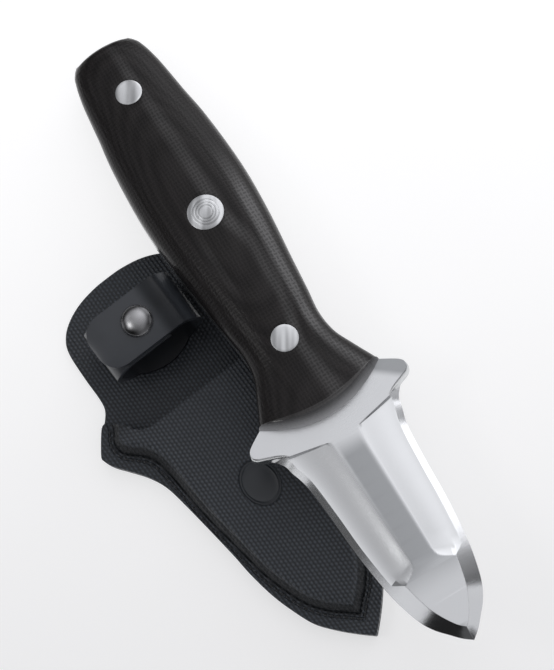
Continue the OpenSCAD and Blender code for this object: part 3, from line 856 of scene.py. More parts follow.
def level_ring(half, heights):
    """Closed ring from a half outline that starts and ends in the middle, and the heights of its points."""
    left = [(p.x, p.y, z) for p, z in zip(half, heights)]
    return left + [(x, -y, z) for x, y, z in reversed(left)]


def bevel_height(k, d):
    """Height of the bevel at a distance from the edge."""
    return k.edge_t / 2 + (k.plate_t - k.edge_t) / 2 * d / k.bevel_w


def hollow_cutter(k, side, face, place):
    """Cutter of one hollow: it falls from the ridge to the bevel, from a step at the guard to a ramp."""
    top = k.plate_t / 2
    # How far the cutter reaches past the strip and over the plate
    out, lift = 6, 2
    steps = 16
    edge = edge_side(k, 8)
    full = top - bevel_height(k, k.strip_w)

    def station(x, slope, hw, depth):
        """Section of the cutter that starts beside the ridge at x and runs aslant to the strip."""
        span = look_up(edge, x + 8 * slope) - k.strip_w - hw
        profile = [(hw - 0.6, top + 0.06)]
        for i in range(steps + 1):
            t = i / steps
            fall = 1.14 * t * t / (t + 0.14)
            profile.append((hw + span * t, top + 0.01 - (depth + 0.01) * (1 - (1 - fall) ** 1.8)))
        profile.append((hw + span + out, top - depth))
        low = [(x + slope * (y - hw), y * side, z * face) for y, z in profile]
        high = [(px, py, (top + lift) * face) for px, py, _ in low]
        return low + high[::-1]

    start = k.front_reach + 5.6
    end = k.tip_reach - HOLLOW_END
    end_hw = k.ridge_hw - 0.8
    rings = [
        station(start, -0.215, k.ridge_hw + 1.3, -0.03),
        station(start + 0.2, -0.215, k.ridge_hw + 0.7, 0.45 * full),
        station(start + 0.55, -0.215, k.ridge_hw + 0.2, full),
        station(start + 1.6, -0.2, k.ridge_hw, full),
    ]
    for i in range(1, 9):
        t = i / 8
        x = start + 1.6 + (end - start - 1.6) * t
        rings.append(station(x, -0.2 + 0.56 * t, k.ridge_hw + (end_hw - k.ridge_hw) * t, full))
    rings.append(station(end + 0.9 * k.ramp_l, 0.5, end_hw, -0.03))
    return ring_solid("cutter", rings, place)


def build_blade(k, finish):
    """The plate: blade, guard and tang in one, with its bevels and hollows."""
    place = knife_place(k)
    steps = 8
    edge = plate_half(k, edge_side(k, steps), steps)
    flat = plate_half(k, flat_side(k, steps), steps)
    top = k.plate_t / 2
    root_x = k.front_reach + 4

    def wing(p):
        """How much of the wings' rounding a place of the border gets."""
        return max(0, min(1, (p.x - k.front_reach + 2.2) / 1.2, (root_x - p.x) / 2))

    # A line on the bevel just inside the hollows: beside the edge at the root, then at a share of the bevel
    inside = k.strip_w + 0.5
    share = inside / k.bevel_w
    beside = drawn_in(edge, -inside, lambda p: 1 if root_x - 2 < p.x < root_x + 14 else 0)
    strip, heights = [], []
    for a, b, near in zip(edge, flat, beside):
        grown = max(0, min(1, (a.x - root_x + 1.6) / 1.6))
        strip.append(a.lerp(near if a.x < root_x + 10 else a.lerp(b, share), grown))
        heights.append(k.edge_t / 2 + (bevel_height(k, inside) - k.edge_t / 2) * grown)
    upper = [level_ring(edge, [k.edge_t / 2] * len(edge)), level_ring(strip, heights)]
    round_w, round_h = 0.6, 1.3
    for i in range(10):
        turn = math.pi * i / 18
        inset, drop = round_w * (1 - math.cos(turn)), round_h * (1 - math.sin(turn))
        upper.append(level_ring(drawn_in(flat, -inset, wing), [top - drop * wing(p) for p in flat]))
    lower = [[(x, y, -z) for x, y, z in ring] for ring in reversed(upper)]
    blade = ring_solid("blade_plate", lower + upper, place)
    for side in (-1, 1):
        for face in (-1, 1):
            carve(blade, hollow_cutter(k, side, face, place))
    for x in (-k.butt_rivet_x, 0, k.guard_rivet_x):
        carve(blade, round_bar("cutter", x, 0, k.barrel_d / 2 + PLAY, -k.plate_t, k.plate_t, place))
    soften(blade, 0.1, 30)
    store_place(blade, place)
    shade(blade, 20)
    even_normals(blade)
    dress(blade, "knife", "blade_steel", finish, "blade")


class HandleForm:
    """The outer form of the handle above its plate."""

    # Fullness of its sections, 2 for an ellipse, and how far its edge is rounded at the butt
    power = 2.3
    butt_round = 1.2

    def __init__(self, k):
        self.k = k
        self.top = k.plate_t / 2
        self.side = handle_side(k, 6)
        self.corner_x = self.side[-1].x
        belly, neck, butt, front = k.belly_t, k.neck_t, k.butt_t, k.front_t
        self.crowns = smooth([
            (-k.butt_reach, butt / 2 - self.butt_round), (-k.butt_reach + 1.5, butt / 2 - 0.3),
            (-k.butt_rivet_x - 9, (neck + butt) / 4 + 0.1), (-k.butt_rivet_x, neck / 2),
            (-25, (belly + neck) / 4 + 0.2), (-12, belly / 2 - 0.15),
            (0, belly / 2), (12, belly / 2 - 0.2), (25, (belly + neck) / 4 + 0.15),
            (k.guard_rivet_x, neck / 2), (k.guard_rivet_x + 8, neck / 2 - 0.4),
            (k.front_reach - 3, front / 2), (k.front_reach + 1, front / 2),
        ], 8)

    def crown(self, x):
        """Height of the handle's middle line."""
        return look_up(self.crowns, x)

    def bow(self, x):
        """How far the middle of a section lies ahead of its sides, near both ends."""
        edge = self.side[0].x
        if x < 0:
            return -(self.k.butt_reach + edge) * max(0, 1 - (x - edge) / 14) ** 2
        return (self.k.front_reach - self.corner_x) * max(0, (x - self.corner_x + 16) / 16) ** 2

    def height(self, x, y):
        """Height of the surface over a place in the plate's middle plane."""
        share = min(abs(y) / look_up(self.side, x), 1)
        return self.top + (self.crown(x) - self.top) * (1 - share**self.power) ** (1 / self.power)

    def ring(self, p, lean, steps):
        """Closed section at one place of the outline: over the crown, and back along the plate."""
        over, under = [], []
        for i in range(steps + 1):
            turn = math.pi * i / steps
            c, s = math.cos(turn), math.sin(turn)
            y = p.y * math.copysign(abs(c) ** (2 / self.power), c)
            x = p.x + self.bow(p.x) * (1 - (y / p.y) ** 2)
            share = abs(s) ** (2 / self.power)
            rise = (self.crown(p.x + self.bow(p.x)) - self.top) * share
            rounding = self.butt_round * math.sqrt(share) * max(0, 1 - (p.x - self.side[0].x) / 6)
            over.append((x + rounding - rise * math.tan(lean), y, self.top + rise))
            under.append((x, y, self.top))
        return over, under


def build_scale(k, name, node, face, finish):
    """One handle scale, with the counterbores of its rivets."""
    form = HandleForm(k)
    steps = 40
    last = len(form.side) - 1
    sections = []
    for i, p in enumerate(form.side):
        over, under = form.ring(p, k.front_lean if i == last else 0, steps)
        sections.append(over + under[-2:0:-1])
    size = len(sections[0])
    points = [p for section in sections for p in section]
    faces = ring_faces(len(sections), size)
    for first in (0, last * size):
        for i in range(steps):
            foot = [first + (size - j) % size if 0 < j < steps else first + j for j in (i, i + 1)]
            faces.append((first + i, first + i + 1, foot[1], foot[0]))
    place = face_place(k, face)
    scale = make_mesh(name, points, faces, place)
    heads = ((-k.butt_rivet_x, k.small_head_d), (0, k.large_head_d), (k.guard_rivet_x, k.small_head_d))
    for x, head_d in heads:
        seat = form.crown(x) - k.head_t
        carve(scale, round_bar("cutter", x, 0, head_d / 2 + 0.05, seat, k.belly_t, place))
        carve(scale, round_bar("cutter", x, 0, k.barrel_d / 2 + PLAY, 0, k.belly_t, place))
    soften(scale, 0.16, 40)
    store_place(scale, knife_place(k))
    shares = scale.data.attributes.new("across", "FLOAT", "POINT").data
    for vertex in scale.data.vertices:
        x, y, _ = scale.data.attributes["local"].data[vertex.index].vector
        shares[vertex.index].value = y / look_up(form.side, x)
    shade(scale, 28)
    dress(scale, "knife", "handle_laminate", finish, node)


def build_rivet(k, name, node, x, head_d, face, finish, rings=()):
    """One half of a rivet: a head ground to the handle's surface on its round barrel or shank."""
    form = HandleForm(k)
    hollow = face > 0
    seat = form.crown(x) - k.head_t
    r = head_d / 2
    bar_r = k.barrel_d / 2 if hollow else SHANK_R
    end = (PLAY if hollow else 1) - seat
    # Radius and depth of each ring under the handle's surface, then radius and level of the rest
    head = [(0.001, 0), (0.3 * r, 0), (0.6 * r, 0), (0.8 * r, 0), (r - 0.16, 0), (r - 0.05, 0.03), (r, 0.09)]
    for centre, width, depth in rings:
        half = width / 2
        head += [(centre - half, 0), (centre - 0.02, depth), (centre + 0.02, depth), (centre + half, 0)]
    head.sort()
    body = [(r, seat), (bar_r, seat), (bar_r, end)]
    if hollow:
        body += [(SHANK_R + PLAY, end), (SHANK_R + PLAY, seat + 0.5)]
    sides = 72
    proud = 0.015
    points = []
    for radius, depth in head:
        points += [(px, py, form.height(px, py) + proud - depth) for px, py in circle(x, 0, radius, sides)]
    for radius, level in body:
        points += [(px, py, level) for px, py in circle(x, 0, radius, sides)]
    count = len(head) + len(body)
    cap = tuple(range(sides))
    faces = ring_faces(count, sides) + [cap] + shifted([cap], (count - 1) * sides)
    rivet = make_mesh(name, points, faces, face_place(k, face))
    store_place(rivet, knife_place(k))
    shade(rivet, 30)
    dress(rivet, "knife", "rivet_steel", finish, node)


# Sheath


def sheath_point(s, u, w, z):
    """A place given from the sheath's point, in the row's frame."""
    return (s.sheath_l / 2 - u, w, z)


def side_half(s, steps):
    """Half outline of the front panel, from its ear to the sheath's point."""
    ear, u = s.ear_w / 2, s.mouth_u
    return smooth([
        (u + 9, ear - 5.7), (u + 8.2, ear - 4.2), (u + 3, ear - 0.3), (u + 1.4, ear),
        (u - 1, ear - 1), (u - 4, ear - 3.2),
        (66.8, 22), (61.7, 19.8), (54.3, 18.5), (38.8, 16.6), (31, 15.9), (23.7, 14.7), (18, 13.1),
        (12.1, 10.8), (7.5, 7.4), (3.5, 3.7), (0, 0),
    ], steps)


def flap_half(s, steps):
    """Half outline of the flap, from its top to the ear."""
    flap, u, top = s.flap_w / 2, s.mouth_u, s.sheath_l
    return smooth([
        (top + 0.3, 0), (top + 0.15, 4.2), (top - 0.8, 9.5), (top - 2.7, 14.1), (top - 5.4, flap - 2.3),
        (top - 9.3, flap - 0.35), (top - 16.9, flap + 0.25), (u + 15, flap + 0.4), (u + 11.7, flap + 1.3),
        (u + 8.2, s.ear_w / 2 - 4.2),
    ], steps)


def foot_half(s, steps):
    """Half outline of the moulded pocket's foot, from above the mouth to its point."""
    u = s.mouth_u
    return smooth([
        (u + 14, 19.8), (u + 8.6, 21), (u + 6.2, 21.8), (u + 3, 23.8), (u - 0.4, 23.3),
        (71.2, 19.6), (67.8, 17.8), (63, 17.1), (56.7, 16.7), (48.5, 16), (40.9, 14.9), (29.6, 13.3),
        (22.2, 11.3), (16.3, 9), (11.6, 5.5), (8.8, 2.4), (6.5, 0),
    ], steps)


# The mouth's cut line: place beside the middle, and how far it lies behind the mouth
MOUTH = [(0, 0), (12, 0), (14.6, 0.35), (16.8, 1.6), (18.9, 5.1), (20.8, 7.0), (22.8, 9.0), (30, 16)]


def below_mouth(s, line):
    """The part of a half outline that lies between the mouth's cut line and the sheath's point."""
    cut = smooth(MOUTH, 6)
    kept = []
    for a, b in zip(line, line[1:]):
        over_a = a.x - s.mouth_u - look_up(cut, a.y)
        over_b = b.x - s.mouth_u - look_up(cut, b.y)
        if over_a > 0 >= over_b:
            kept = [a.lerp(b, over_a / (over_a - over_b))]
        if over_b <= 0:
            kept.append(b)
    return kept


def ear_drop(s, u):
    """How much lower the pocket's top lies behind the mouth, where it slopes down to the ears."""
    return max(0, u - s.mouth_u) * 5.6 / 18


def whole_ring(s, half, z, under=0):
    """Open ring from the mouth's left side round the point to its right side, held under the pocket's top."""
    top = s.back_t + s.flange_t + s.pocket_h - under

    def placed(p, side):
        return sheath_point(s, p.x, side * p.y, min(z, top - ear_drop(s, p.x)))

    return [placed(p, -1) for p in half] + [placed(p, 1) for p in reversed(half[:-1])]


def mouth_line(s, half, count):
    """Points of the mouth's cut edge, from its left end on a half outline to its right end."""
    cut = smooth(MOUTH, 6)
    reach = half[0].y
    line = []
    for i in range(-count, count + 1):
        y = abs(reach * i / count)
        line.append(Vector((s.mouth_u + look_up(cut, y), reach * i / count)))
    return line


def filled(outline, inner):
    """Triangles over a flat outline that use all inner points, and where each outline point went."""
    size = len(outline)
    loose = [p for p in inner if all((p - q).length > 0.45 for q in outline)]
    edges = [(i, (i + 1) % size) for i in range(size)]
    places, _, faces, sources, _, _ = delaunay_2d_cdt(outline + loose, edges, [], 1, 0.0001)
    went = {source: i for i, group in enumerate(sources) for source in group}
    return places, faces, [went[i] for i in range(size)]


def oval_reach(s, u, y):
    """How far out a place lies in the pressed oval, 1 at its edge."""
    return math.hypot((u - s.oval_u) / s.oval_l * 2, y / s.oval_w * 2)


def pressed(s, u, y):
    """Depth of the pressed oval at a place: a groove round it, and a slightly sunk middle."""
    r = oval_reach(s, u, y)
    groove = max(0, 1 - abs(r - 0.93) / 0.1)
    return 0.42 * min(1, 1.6 * groove) + 0.16 * max(0, min(1, (0.86 - r) / 0.05))


def oval_points(s):
    """Rings of points in and round the pressed oval."""
    points = [Vector((s.oval_u, 0))]
    for share in (0.3, 0.6, 0.79, 0.83, 0.87, 0.91, 0.95, 0.99, 1.03, 1.1):
        count = 12 if share < 0.5 else 60
        for i in range(count):
            turn = 2 * math.pi * i / count
            x, y = share * s.oval_l / 2 * math.cos(turn), share * s.oval_w / 2 * math.sin(turn)
            points.append(Vector((s.oval_u + x, y)))
    return points


def zipped(one, other, points):
    """Triangles between two lines of points that both run towards the middle of the mouth."""
    faces = []
    i = j = 0
    while i < len(one) - 1 or j < len(other) - 1:
        on_one = i < len(one) - 1 and (
            j == len(other) - 1 or abs(points[one[i + 1]][1]) >= abs(points[other[j + 1]][1])
        )
        if on_one:
            faces.append((one[i], one[i + 1], other[j]))
            i += 1
        else:
            faces.append((one[i], other[j + 1], other[j]))
            j += 1
    return faces


def build_front_panel(s, finish):
    """The moulded pocket: sewn flange, stepped wall, pillowed top, and the hollow for the blade."""
    count = 150
    seam = s.back_t + 0.02
    flange = s.back_t + s.flange_t
    top = flange + s.pocket_h
    foot = foot_half(s, 4)

    def wall(inset):
        return spread(below_mouth(s, drawn_in(foot, inset)), count)

    outer = spread(below_mouth(s, side_half(s, 6)), count)
    rise = s.pocket_h
    # The wall outwards in: how far inside the pocket's foot, and how high over the flange
    wall_steps = [
        (-1.5, 0), (-1.3, -0.3), (-0.8, -0.3), (-0.6, 0), (-0.42, 0), (-0.25, 0.16), (-0.02, 0.16), (0.12, 0),
        (0.22, 0.1 * rise), (0.34, 0.26 * rise), (0.6, 0.37 * rise), (0.95, 0.44 * rise), (1.3, 0.5 * rise),
        (1.6, 0.53 * rise), (1.72, 0.58 * rise), (1.8, 0.7 * rise), (1.95, 0.84 * rise), (2.2, 0.93 * rise),
        (2.6, 0.985 * rise), (2.9, rise),
    ]
    rings = [whole_ring(s, outer, seam), whole_ring(s, outer, flange)]
    first = wall(wall_steps[0][0])
    rings.append(whole_ring(s, [a.lerp(b, 0.5) for a, b in zip(outer, first)], flange))
    for inset, lift in wall_steps:
        rings.append(whole_ring(s, wall(inset), flange + lift))
    outside = len(rings)
    brim = wall(wall_steps[-1][0])
    inner_brim = wall(s.wall_t + 1.6)
    rings.append(whole_ring(s, inner_brim, top - s.wall_t, s.wall_t))
    rings.append(whole_ring(s, wall(s.wall_t + 0.8), top - s.wall_t - 0.5, s.wall_t))
    rings.append(whole_ring(s, wall(s.wall_t), flange))
    rings.append(whole_ring(s, wall(s.wall_t), seam))
    size = len(rings[0])
    total = len(rings)
    points = [p for ring in rings for p in ring]
    faces = ring_faces(outside, size, closed=False)
    faces += shifted(ring_faces(total - outside, size, closed=False), outside * size)
    for i in range(size - 1):
        faces.append(((total - 1) * size + i, (total - 1) * size + i + 1, i + 1, i))
    widths = [(p.x, p.y) for p in reversed(brim)]

    def lid(half, level, shaped, extra):
        """Adds the surface between a half outline's two sides and the mouth, and returns its mouth edge."""
        mouth = mouth_line(s, half, 24)
        outline = [Vector((p.x, p.y)) for p in half] + [Vector((p.x, -p.y)) for p in reversed(half[:-1])]
        outline += [p.copy() for p in mouth[1:-1]]
        places, triangles, went = filled(outline, extra)
        start = len(points)
        for p in places:
            width = look_up(widths, p.x)
            share = min(1, abs(p.y) / max(width, 0.01))
            swell = s.pillow_h * (1 - share**2) * min(1, width / 6) - pressed(s, p.x, p.y) if shaped else 0
            points.append(sheath_point(s, p.x, p.y, level - ear_drop(s, p.x) + swell))
        faces.extend(shifted(triangles, start))
        return [start + i for i in went[2 * len(half) - 2:] + went[:1]]

    grid = []
    pitch = 1.4
    for i in range(8, 66):
        for j in range(-14, 15):
            spot = Vector((pitch * i, pitch * (j + 0.5 * (i % 2))))
            off_mouth = spot.x < s.mouth_u + look_up(MOUTH, abs(spot.y))
            inside = abs(spot.y) < look_up(widths, spot.x) and off_mouth
            if inside and oval_reach(s, spot.x, spot.y) >= 1.2:
                grid.append(spot)
    upper_edge = lid(brim, top, True, grid + oval_points(s))
    lower_edge = lid(inner_brim, top - s.wall_t, False, [])
    # The cut edge at the mouth joins the outside to the hollow
    middle = len(upper_edge) // 2
    for column, turn in ((0, 1), (size - 1, -1)):
        outer_line = [i * size + column for i in range(outside)]
        inner_line = [i * size + column for i in range(total - 1, outside - 1, -1)]
        outer_line += upper_edge[::turn][:middle + 1][1:]
        inner_line += lower_edge[::turn][:middle + 1][1:]
        faces += zipped(outer_line, inner_line, points)
    panel = make_mesh("front_leather", points, faces)
    store_place(panel)
    shade(panel, 50)
    dress(panel, "sheath", "sheath_leather", finish, "front_panel")


def build_back_panel(s, finish):
    """The back panel with its flap, its edges rounded."""
    half = flap_half(s, 8) + side_half(s, 8)[9:]
    half = spread([p for i, p in enumerate(half) if not i or (p - half[i - 1]).length > 0.01], 190)
    ring = [sheath_point(s, p.x, p.y, 0) for p in half]
    ring += [sheath_point(s, p.x, -p.y, 0) for p in reversed(half[1:-1])]
    points = [(x, y, z) for z in (0, s.back_t) for x, y, _ in ring]
    size = len(ring)
    faces = ring_faces(2, size) + [tuple(range(size)), tuple(range(size, 2 * size))]
    panel = make_mesh("back_leather", points, faces)
    soften(panel, 0.35, 60, 3)
    store_place(panel)
    shade(panel, 40)
    dress(panel, "sheath", "sheath_leather", finish, "back_panel")


def stitch(a, b, z, dip, radius):
    """Rings of one stitch: it comes out of one hole, lies on the leather and goes into the next."""
    rings = []
    along = (b - a).normalized()
    aside = Vector((-along.y, along.x))
    for i in range(STITCH_RINGS):
        t = i / (STITCH_RINGS - 1)
        middle = a.lerp(b, t)
        lift = z + dip * (1 - (2 * t - 1) ** 4)
        girth = radius * (0.55 + 0.45 * math.sin(math.pi * t))
        for j in range(STITCH_SIDES):
            turn = 2 * math.pi * j / STITCH_SIDES
            spot = middle + aside * girth * math.cos(turn)
            rings.append((spot.x, spot.y, lift + girth * math.sin(turn)))
    return rings


def build_stitching(s, finish):
    """Rows of stitches round the pocket, on the flange and on the back."""
    row = below_mouth(s, drawn_in(foot_half(s, 4), -1.05))
    run = sum((b - a).length for a, b in zip(row, row[1:]))
    count = int(run / s.stitch_pitch)
    stops = spread(row, count)
    show = s.stitch_l / s.stitch_pitch
    cap = tuple(range(STITCH_SIDES))
    one = ring_faces(STITCH_RINGS, STITCH_SIDES) + [cap] + shifted([cap], (STITCH_RINGS - 1) * STITCH_SIDES)
    points, faces = [], []
    for side in (-1, 1):
        for level, dip in ((s.back_t + s.flange_t - 0.42, 0.36), (0.17, -0.02)):
            for p, q in zip(stops[1:], stops[2:]):
                a = Vector((s.sheath_l / 2 - p.x, side * p.y))
                b = Vector((s.sheath_l / 2 - q.x, side * q.y))
                faces += shifted(one, len(points))
                points += stitch(a, a.lerp(b, show), level, dip, s.thread_d / 2)
    thread = make_mesh("stitching", points, faces)
    store_place(thread)
    shade(thread, 60)
    dress(thread, "sheath", "sheath_leather", finish)


# Strap and snap


def turn_line(width, height, y, z):
    """Quarter turn from above or below a crease out to the crease."""
    power = 2 / 1.7
    steps = 16
    line = []
    for i in range(steps + 1):
        a = math.pi / 2 * i / steps
        line.append((y + width * math.sin(a) ** power, z + height * abs(math.cos(a)) ** power))
    return line


def strap_lines(s, t):
    """The outer and inner lines of the strap, from the short arm's end round the loop to the free end."""
    crease_y, crease_z = t.loop_w / 2, s.back_t + t.crease_h
    tongue_top = s.back_t + t.loop_h
    gap = 0.25
    arm_top = tongue_top - t.strap_t - t.socket_h - gap
    short_turn, sewn_turn = 6.2, crease_y - t.sewn_hw + 1
    long_turn = crease_y - t.bend_y - 0.8
    end_y = 4.6

    def arm(level, turn_w, inner):
        up = 1 if level > crease_z else -1
        shrink = t.strap_t if inner else 0
        return turn_line(turn_w - shrink, up * (abs(level - crease_z) - shrink), crease_y - turn_w, crease_z)

    def level_run(a, b, z, steps):
        return [(a + (b - a) * i / steps, z) for i in range(steps)]

    lines = []
    for inner in (False, True):
        shrink = t.strap_t if inner else 0
        short = [(-y, z) for y, z in arm(arm_top, short_turn, inner)]
        lower = arm(s.back_t, sewn_turn, inner)
        upper = arm(tongue_top, long_turn, inner)
        line = level_run(end_y, short[0][0], arm_top - shrink, 8)
        line += short
        line += [(-y, z) for y, z in reversed(lower)][1:]
        line += level_run(-lower[0][0], lower[0][0], s.back_t + shrink, 16)[1:]
        line += lower
        line += list(reversed(upper))[1:]
        line += level_run(upper[0][0], t.end_r - crease_y, tongue_top - shrink, 14)[1:]
        for i in range(17):
            line.append((t.end_r * (1 - math.sin(math.pi / 2 * i / 16)) - crease_y, tongue_top - shrink))
        lines.append(line)
    return lines


def build_strap(s, t, finish):
    """The strap as one piece of leather, from its short arm round the loop to its free end."""
    outer, inner = strap_lines(s, t)
    strap_x = s.sheath_l / 2 - t.strap_u
    tongue_top = s.back_t + t.loop_h
    corner_y = t.end_r - t.loop_w / 2
    points = []
    count = len(outer)
    for i in range(count):
        y, z = outer[i]
        half = t.strap_w / 2
        if z < s.back_t + 1 and abs(y) < t.sewn_hw:
            half += t.patch_bulge * (1 - (y / t.sewn_hw) ** 2)
        if z > tongue_top - 0.01 and y < corner_y:
            gone = (corner_y - y) / t.end_r
            half += t.end_r * (math.sqrt(max(0, 1 - gone**2)) - 1)
        for x, (py, pz) in ((-half, outer[i]), (half, outer[i]), (half, inner[i]), (-half, inner[i])):
            points.append((strap_x + x, py, pz))
    faces = ring_faces(count, 4) + [(0, 1, 2, 3)]
    faces.append(tuple((count - 1) * 4 + i for i in range(4)))
    strap = make_mesh("strap_leather_loop", points, faces)
    soften(strap, 0.3, 50, 3)
    carve(strap, round_bar("cutter", strap_x, 0, t.shank_d / 2 + PLAY, s.back_t + 10, tongue_top + 1))
    store_place(strap)
    shade(strap, 35)
    x = strap_x * MM
    bend_hw = 1.6
    start = (x, (t.bend_y + bend_hw) * MM, tongue_top * MM)
    end = (x, (t.bend_y - bend_hw) * MM, tongue_top * MM)
    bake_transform(strap)
    dress(strap, None, "strap_leather", finish, "strap_base", "strap_tongue")


def build_snap(s, t, finish):
    """The snap's cap: a dome with a rolled rim. Its other three parts keep their shapes."""
    x = s.sheath_l / 2 - t.strap_u
    z = s.back_t + t.loop_h
    r, shank_r = t.cap_d / 2, t.shank_d / 2
    foot = -t.strap_t - 0.4
    dome_r, dome_z = r - 0.14, 0.4
    profile = [(0.5, foot), (shank_r, foot), (shank_r, 0.01), (r - 0.25, 0.01)]
    profile += [(r - 0.06, 0.05), (r, 0.16), (r - 0.04, 0.3), (dome_r, dome_z)]
    for i in range(1, 17):
        a = math.pi / 2 * i / 16
        profile.append((dome_r * math.cos(a) + 0.0005, dome_z + (t.cap_h - dome_z) * math.sin(a)))
    sides = 72
    points = []
    for radius, level in profile:
        points += [(px, py, z + level) for px, py in circle(x, 0, radius, sides)]
    faces = ring_faces(len(profile), sides) + [tuple(range(sides))]
    cap = make_mesh("snap_dome", points, faces)
    shade(cap, 45)
    dress(cap, "strap", "snap_metal", finish, "snap_cap")
    for name in ("snap_socket", "snap_stud", "snap_post"):
        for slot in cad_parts[name].material_slots:
            slot.material = finish


# Operators


def settings():
    """Each group of settings by its name."""
    model = bpy.context.scene.oyster_knife
    return {name: Millimetres(getattr(model, name)) for name in GROUPS}


class BuildBlade(bpy.types.Operator):
    """Build the plate that is blade, guard and tang"""

    bl_idname = "oyster_knife.blade"
    bl_label = "Blade"

    def execute(self, context):
        data = settings()
        build_blade(data["knife"], blade_finish(data["colours"], data["knife"]))
        return {"FINISHED"}


class BuildHandle(bpy.types.Operator):
    """Build the two handle scales"""

    bl_idname = "oyster_knife.handle"
    bl_label = "Handle scales"

    def execute(self, context):
        data = settings()
        finish = laminate_finish(data["colours"], data["knife"])
        build_scale(data["knife"], "front_handle_scale", "front_scale", 1, finish)
        build_scale(data["knife"], "rear_handle_scale", "rear_scale", -1, finish)
        return {"FINISHED"}


class BuildRivets(bpy.types.Operator):
    """Build the three rivets, each in two halves"""

    bl_idname = "oyster_knife.rivets"
    bl_label = "Rivets"

    def execute(self, context):
        data = settings()
        k = data["knife"]
        finish = rivet_finish(data["colours"])
        # Radius, width and depth of the rings turned into the middle heads
        turned = tuple((radius, 0.22, 0.05) for radius in (3.4, 2.6, 1.8))
        rivets = (
            ("butt", -k.butt_rivet_x, k.small_head_d, ()),
            ("middle", 0, k.large_head_d, turned),
            ("guard", k.guard_rivet_x, k.small_head_d, ()),
        )
        for name, x, head_d, rings in rivets:
            for side, face in (("front", 1), ("rear", -1)):
                node = f"{name}_rivet_{side}"
                build_rivet(k, node + "_head", node, x, head_d, face, finish, rings)
        return {"FINISHED"}


class BuildSheath(bpy.types.Operator):
    """Build the sheath's two leather panels and its stitching"""

    bl_idname = "oyster_knife.sheath"
    bl_label = "Sheath"

    def execute(self, context):
        data = settings()
        finish = sheath_finish(data["colours"], data["sheath"])
        build_back_panel(data["sheath"], finish)
        build_front_panel(data["sheath"], finish)
        build_stitching(data["sheath"], thread_finish(data["colours"]))
        return {"FINISHED"}


class BuildStrap(bpy.types.Operator):
    """Build the strap and its snap"""

    bl_idname = "oyster_knife.strap"
    bl_label = "Strap and snap"

    def execute(self, context):
        data = settings()
        build_strap(data["sheath"], data["strap"], strap_finish(data["colours"]))
        build_snap(data["sheath"], data["strap"], snap_finish(data["colours"]))
        return {"FINISHED"}


def area_light(name, place, aim, size, power):
    """A soft light that shines from its place towards a place."""
    data = bpy.data.lights.new(name, "AREA")
    data.shape = "RECTANGLE"
    data.size, data.size_y = size
    data.energy = power
    lamp = bpy.data.objects.new(name, data)
    lamp.location = place
    lamp.rotation_euler = (Vector(aim) - Vector(place)).to_track_quat("-Z", "Y").to_euler()
    bpy.context.scene.collection.objects.link(lamp)


def camera_axes(stage):
    """Directions from the target to the camera, and of its picture's right and up."""
    flat, rise = stage.azimuth, stage.elevation
    out = Vector((math.cos(rise) * math.cos(flat), math.cos(rise) * math.sin(flat), math.sin(rise)))
    up = Vector((-1, 0, 0))
    up = (up - up.dot(out) * out).normalized()
    up = Matrix.Rotation(stage.roll, 3, out) @ up
    return out, up.cross(out), up


def build_floor(stage, colours, up):
    """A pale floor that glows a little, less towards the picture's bottom."""
    reach = 3000
    corners = [(-reach, -reach, 0), (reach, -reach, 0), (reach, reach, 0), (-reach, reach, 0)]
    floor = make_mesh("floor", corners, [(0, 1, 2, 3)])
    finish = Finish("floor_finish", Roughness=0.9, Specular_IOR_Level=0.0, Base_Color=colours.floor)
    place = finish.add("ShaderNodeTexCoord", {}, {}, "Object")
    rising = Vector((up.x, up.y, 0)).normalized()
    share = (finish.along(place, rising) - stage.target.dot(rising) * MM).step(-0.12, 0.09)
    glow = stage.floor_bottom + (stage.floor_top - stage.floor_bottom) * share
    finish.set(Emission_Color=finish.joined(glow, glow, 1.004 * glow), Emission_Strength=1.0)
    floor.data.materials.append(finish.material)


def surround(scene, stage):
    """Dim surroundings with a wide soft light overhead and narrower ones around it."""
    world = bpy.data.worlds.new("surroundings")
    world.use_nodes = True
    sheet = NodeSheet(world.node_tree)
    way = sheet.add("ShaderNodeTexCoord", {}, {}, "Generated")

    def patch(direction, low, high):
        """A round patch of the surroundings that begins at low and is full at high."""
        return sheet.along(way, direction).step(low, high)

    above = (-0.38, 0.35, 0.86)
    ceiling = patch(above, 0.55, 0.92)
    overhead = sheet.along(way, above).clipped() ** 20
    right = patch((-0.32, 0.9, 0.32), 0.9, 0.98)
    left = patch((-0.5, -0.82, 0.2), 0.95, 0.99)
    # The lights that the bevels beside the point, the ramps and the handle's front wall show
    beside_left = patch((-0.13, -0.7, 0.7), 0.986, 0.993)
    beside_right = patch((0.38, 0.83, 0.38), 0.945, 0.965)
    ramp_right = patch((-0.66, 0.6, 0.45), 0.95, 0.985)
    ramp_left = patch((-0.6, -0.42, 0.68), 0.96, 0.99)
    in_front = patch((0.8, 0, 0.6), 0.78, 0.95)
    # Dark screens between the lights on the right, and where the point's left bevel ends
    between = patch((0, 0.88, 0.465), 0.992, 0.996)
    beyond = patch((0.26, -0.77, 0.57), 0.96, 0.98)
    total = stage.ambient + stage.ceiling * ceiling + stage.overhead * overhead
    total = total + stage.right_glow * right + stage.left_glow * (left + beside_left)
    total = total + stage.point_glow * (1.4 * beside_right + 2 * ramp_right + ramp_left + in_front)
    total = total * (1 - 0.8 * between) * (1 - 0.8 * beyond)
    sheet.feed(sheet.tree.nodes["Background"].inputs["Color"], sheet.joined(total, total, 1.03 * total))
    scene.world = world


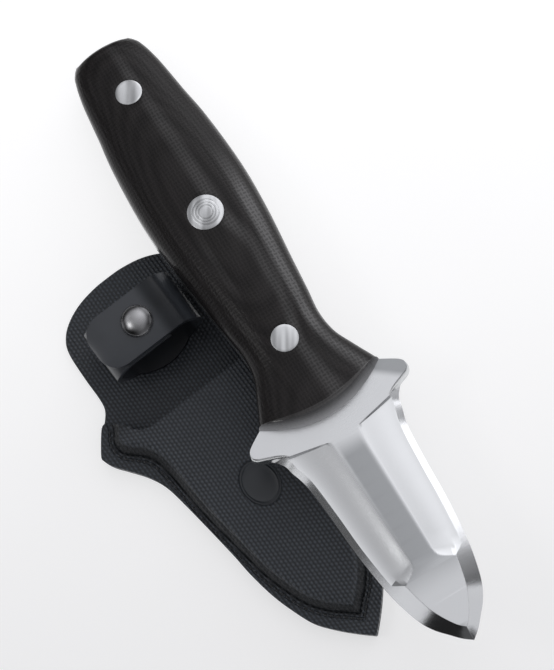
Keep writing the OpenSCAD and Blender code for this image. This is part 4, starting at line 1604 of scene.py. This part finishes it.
class BuildStage(bpy.types.Operator):
    """Build the floor, the lights and the camera"""

    bl_idname = "oyster_knife.stage"
    bl_label = "Stage"

    def execute(self, context):
        data = settings()
        stage, colours = data["stage"], data["colours"]
        out, right, up = camera_axes(stage)
        build_floor(stage, colours, up)
        surround(context.scene, stage)
        lens = bpy.data.cameras.new("camera")
        lens.sensor_fit = "VERTICAL"
        lens.sensor_height = PICTURE_H
        lens.lens = stage.lens
        lens.clip_start = 0.01
        lens.clip_end = 20
        camera = bpy.data.objects.new("camera", lens)
        turn = Matrix((right, up, out)).transposed().to_4x4()
        target = stage.target * MM
        camera.matrix_world = Matrix.Translation(target + out * stage.distance * MM) @ turn
        context.scene.collection.objects.link(camera)
        context.scene.camera = camera
        context.scene.view_settings.view_transform = "Standard"
        key_place, key_size = (-0.25, -0.45, 0.8), (0.25, 0.25)
        area_light("key_light", key_place, target, key_size, stage.key_power)
        return {"FINISHED"}


OPERATORS = (BuildBlade, BuildHandle, BuildRivets, BuildSheath, BuildStrap, BuildStage)


class OysterKnifePanel(bpy.types.Panel):
    """Lists the steps that build the knife, its sheath and the stage"""

    bl_idname = "VIEW3D_PT_oyster_knife"
    bl_label = "Oyster Knife"
    bl_space_type = "VIEW_3D"
    bl_region_type = "UI"
    bl_category = "Oyster Knife"

    def draw(self, context):
        for step in OPERATORS:
            self.layout.operator(step.bl_idname)
        for name, group in GROUPS.items():
            box = self.layout.box()
            box.label(text=name.capitalize())
            for size in group.__annotations__:
                box.prop(getattr(context.scene.oyster_knife, name), size)


CLASSES = (*GROUPS.values(), KnifeModel, *OPERATORS, OysterKnifePanel)


def register():
    for item in CLASSES:
        bpy.utils.register_class(item)
    bpy.types.Scene.oyster_knife = bpy.props.PointerProperty(type=KnifeModel)


def unregister():
    del bpy.types.Scene.oyster_knife
    for item in reversed(CLASSES):
        bpy.utils.unregister_class(item)


def main():
    register()
    bpy.ops.oyster_knife.blade()
    bpy.ops.oyster_knife.handle()
    bpy.ops.oyster_knife.rivets()
    bpy.ops.oyster_knife.sheath()
    bpy.ops.oyster_knife.strap()
    bpy.ops.oyster_knife.stage()


if __name__ == "__main__":
    main()
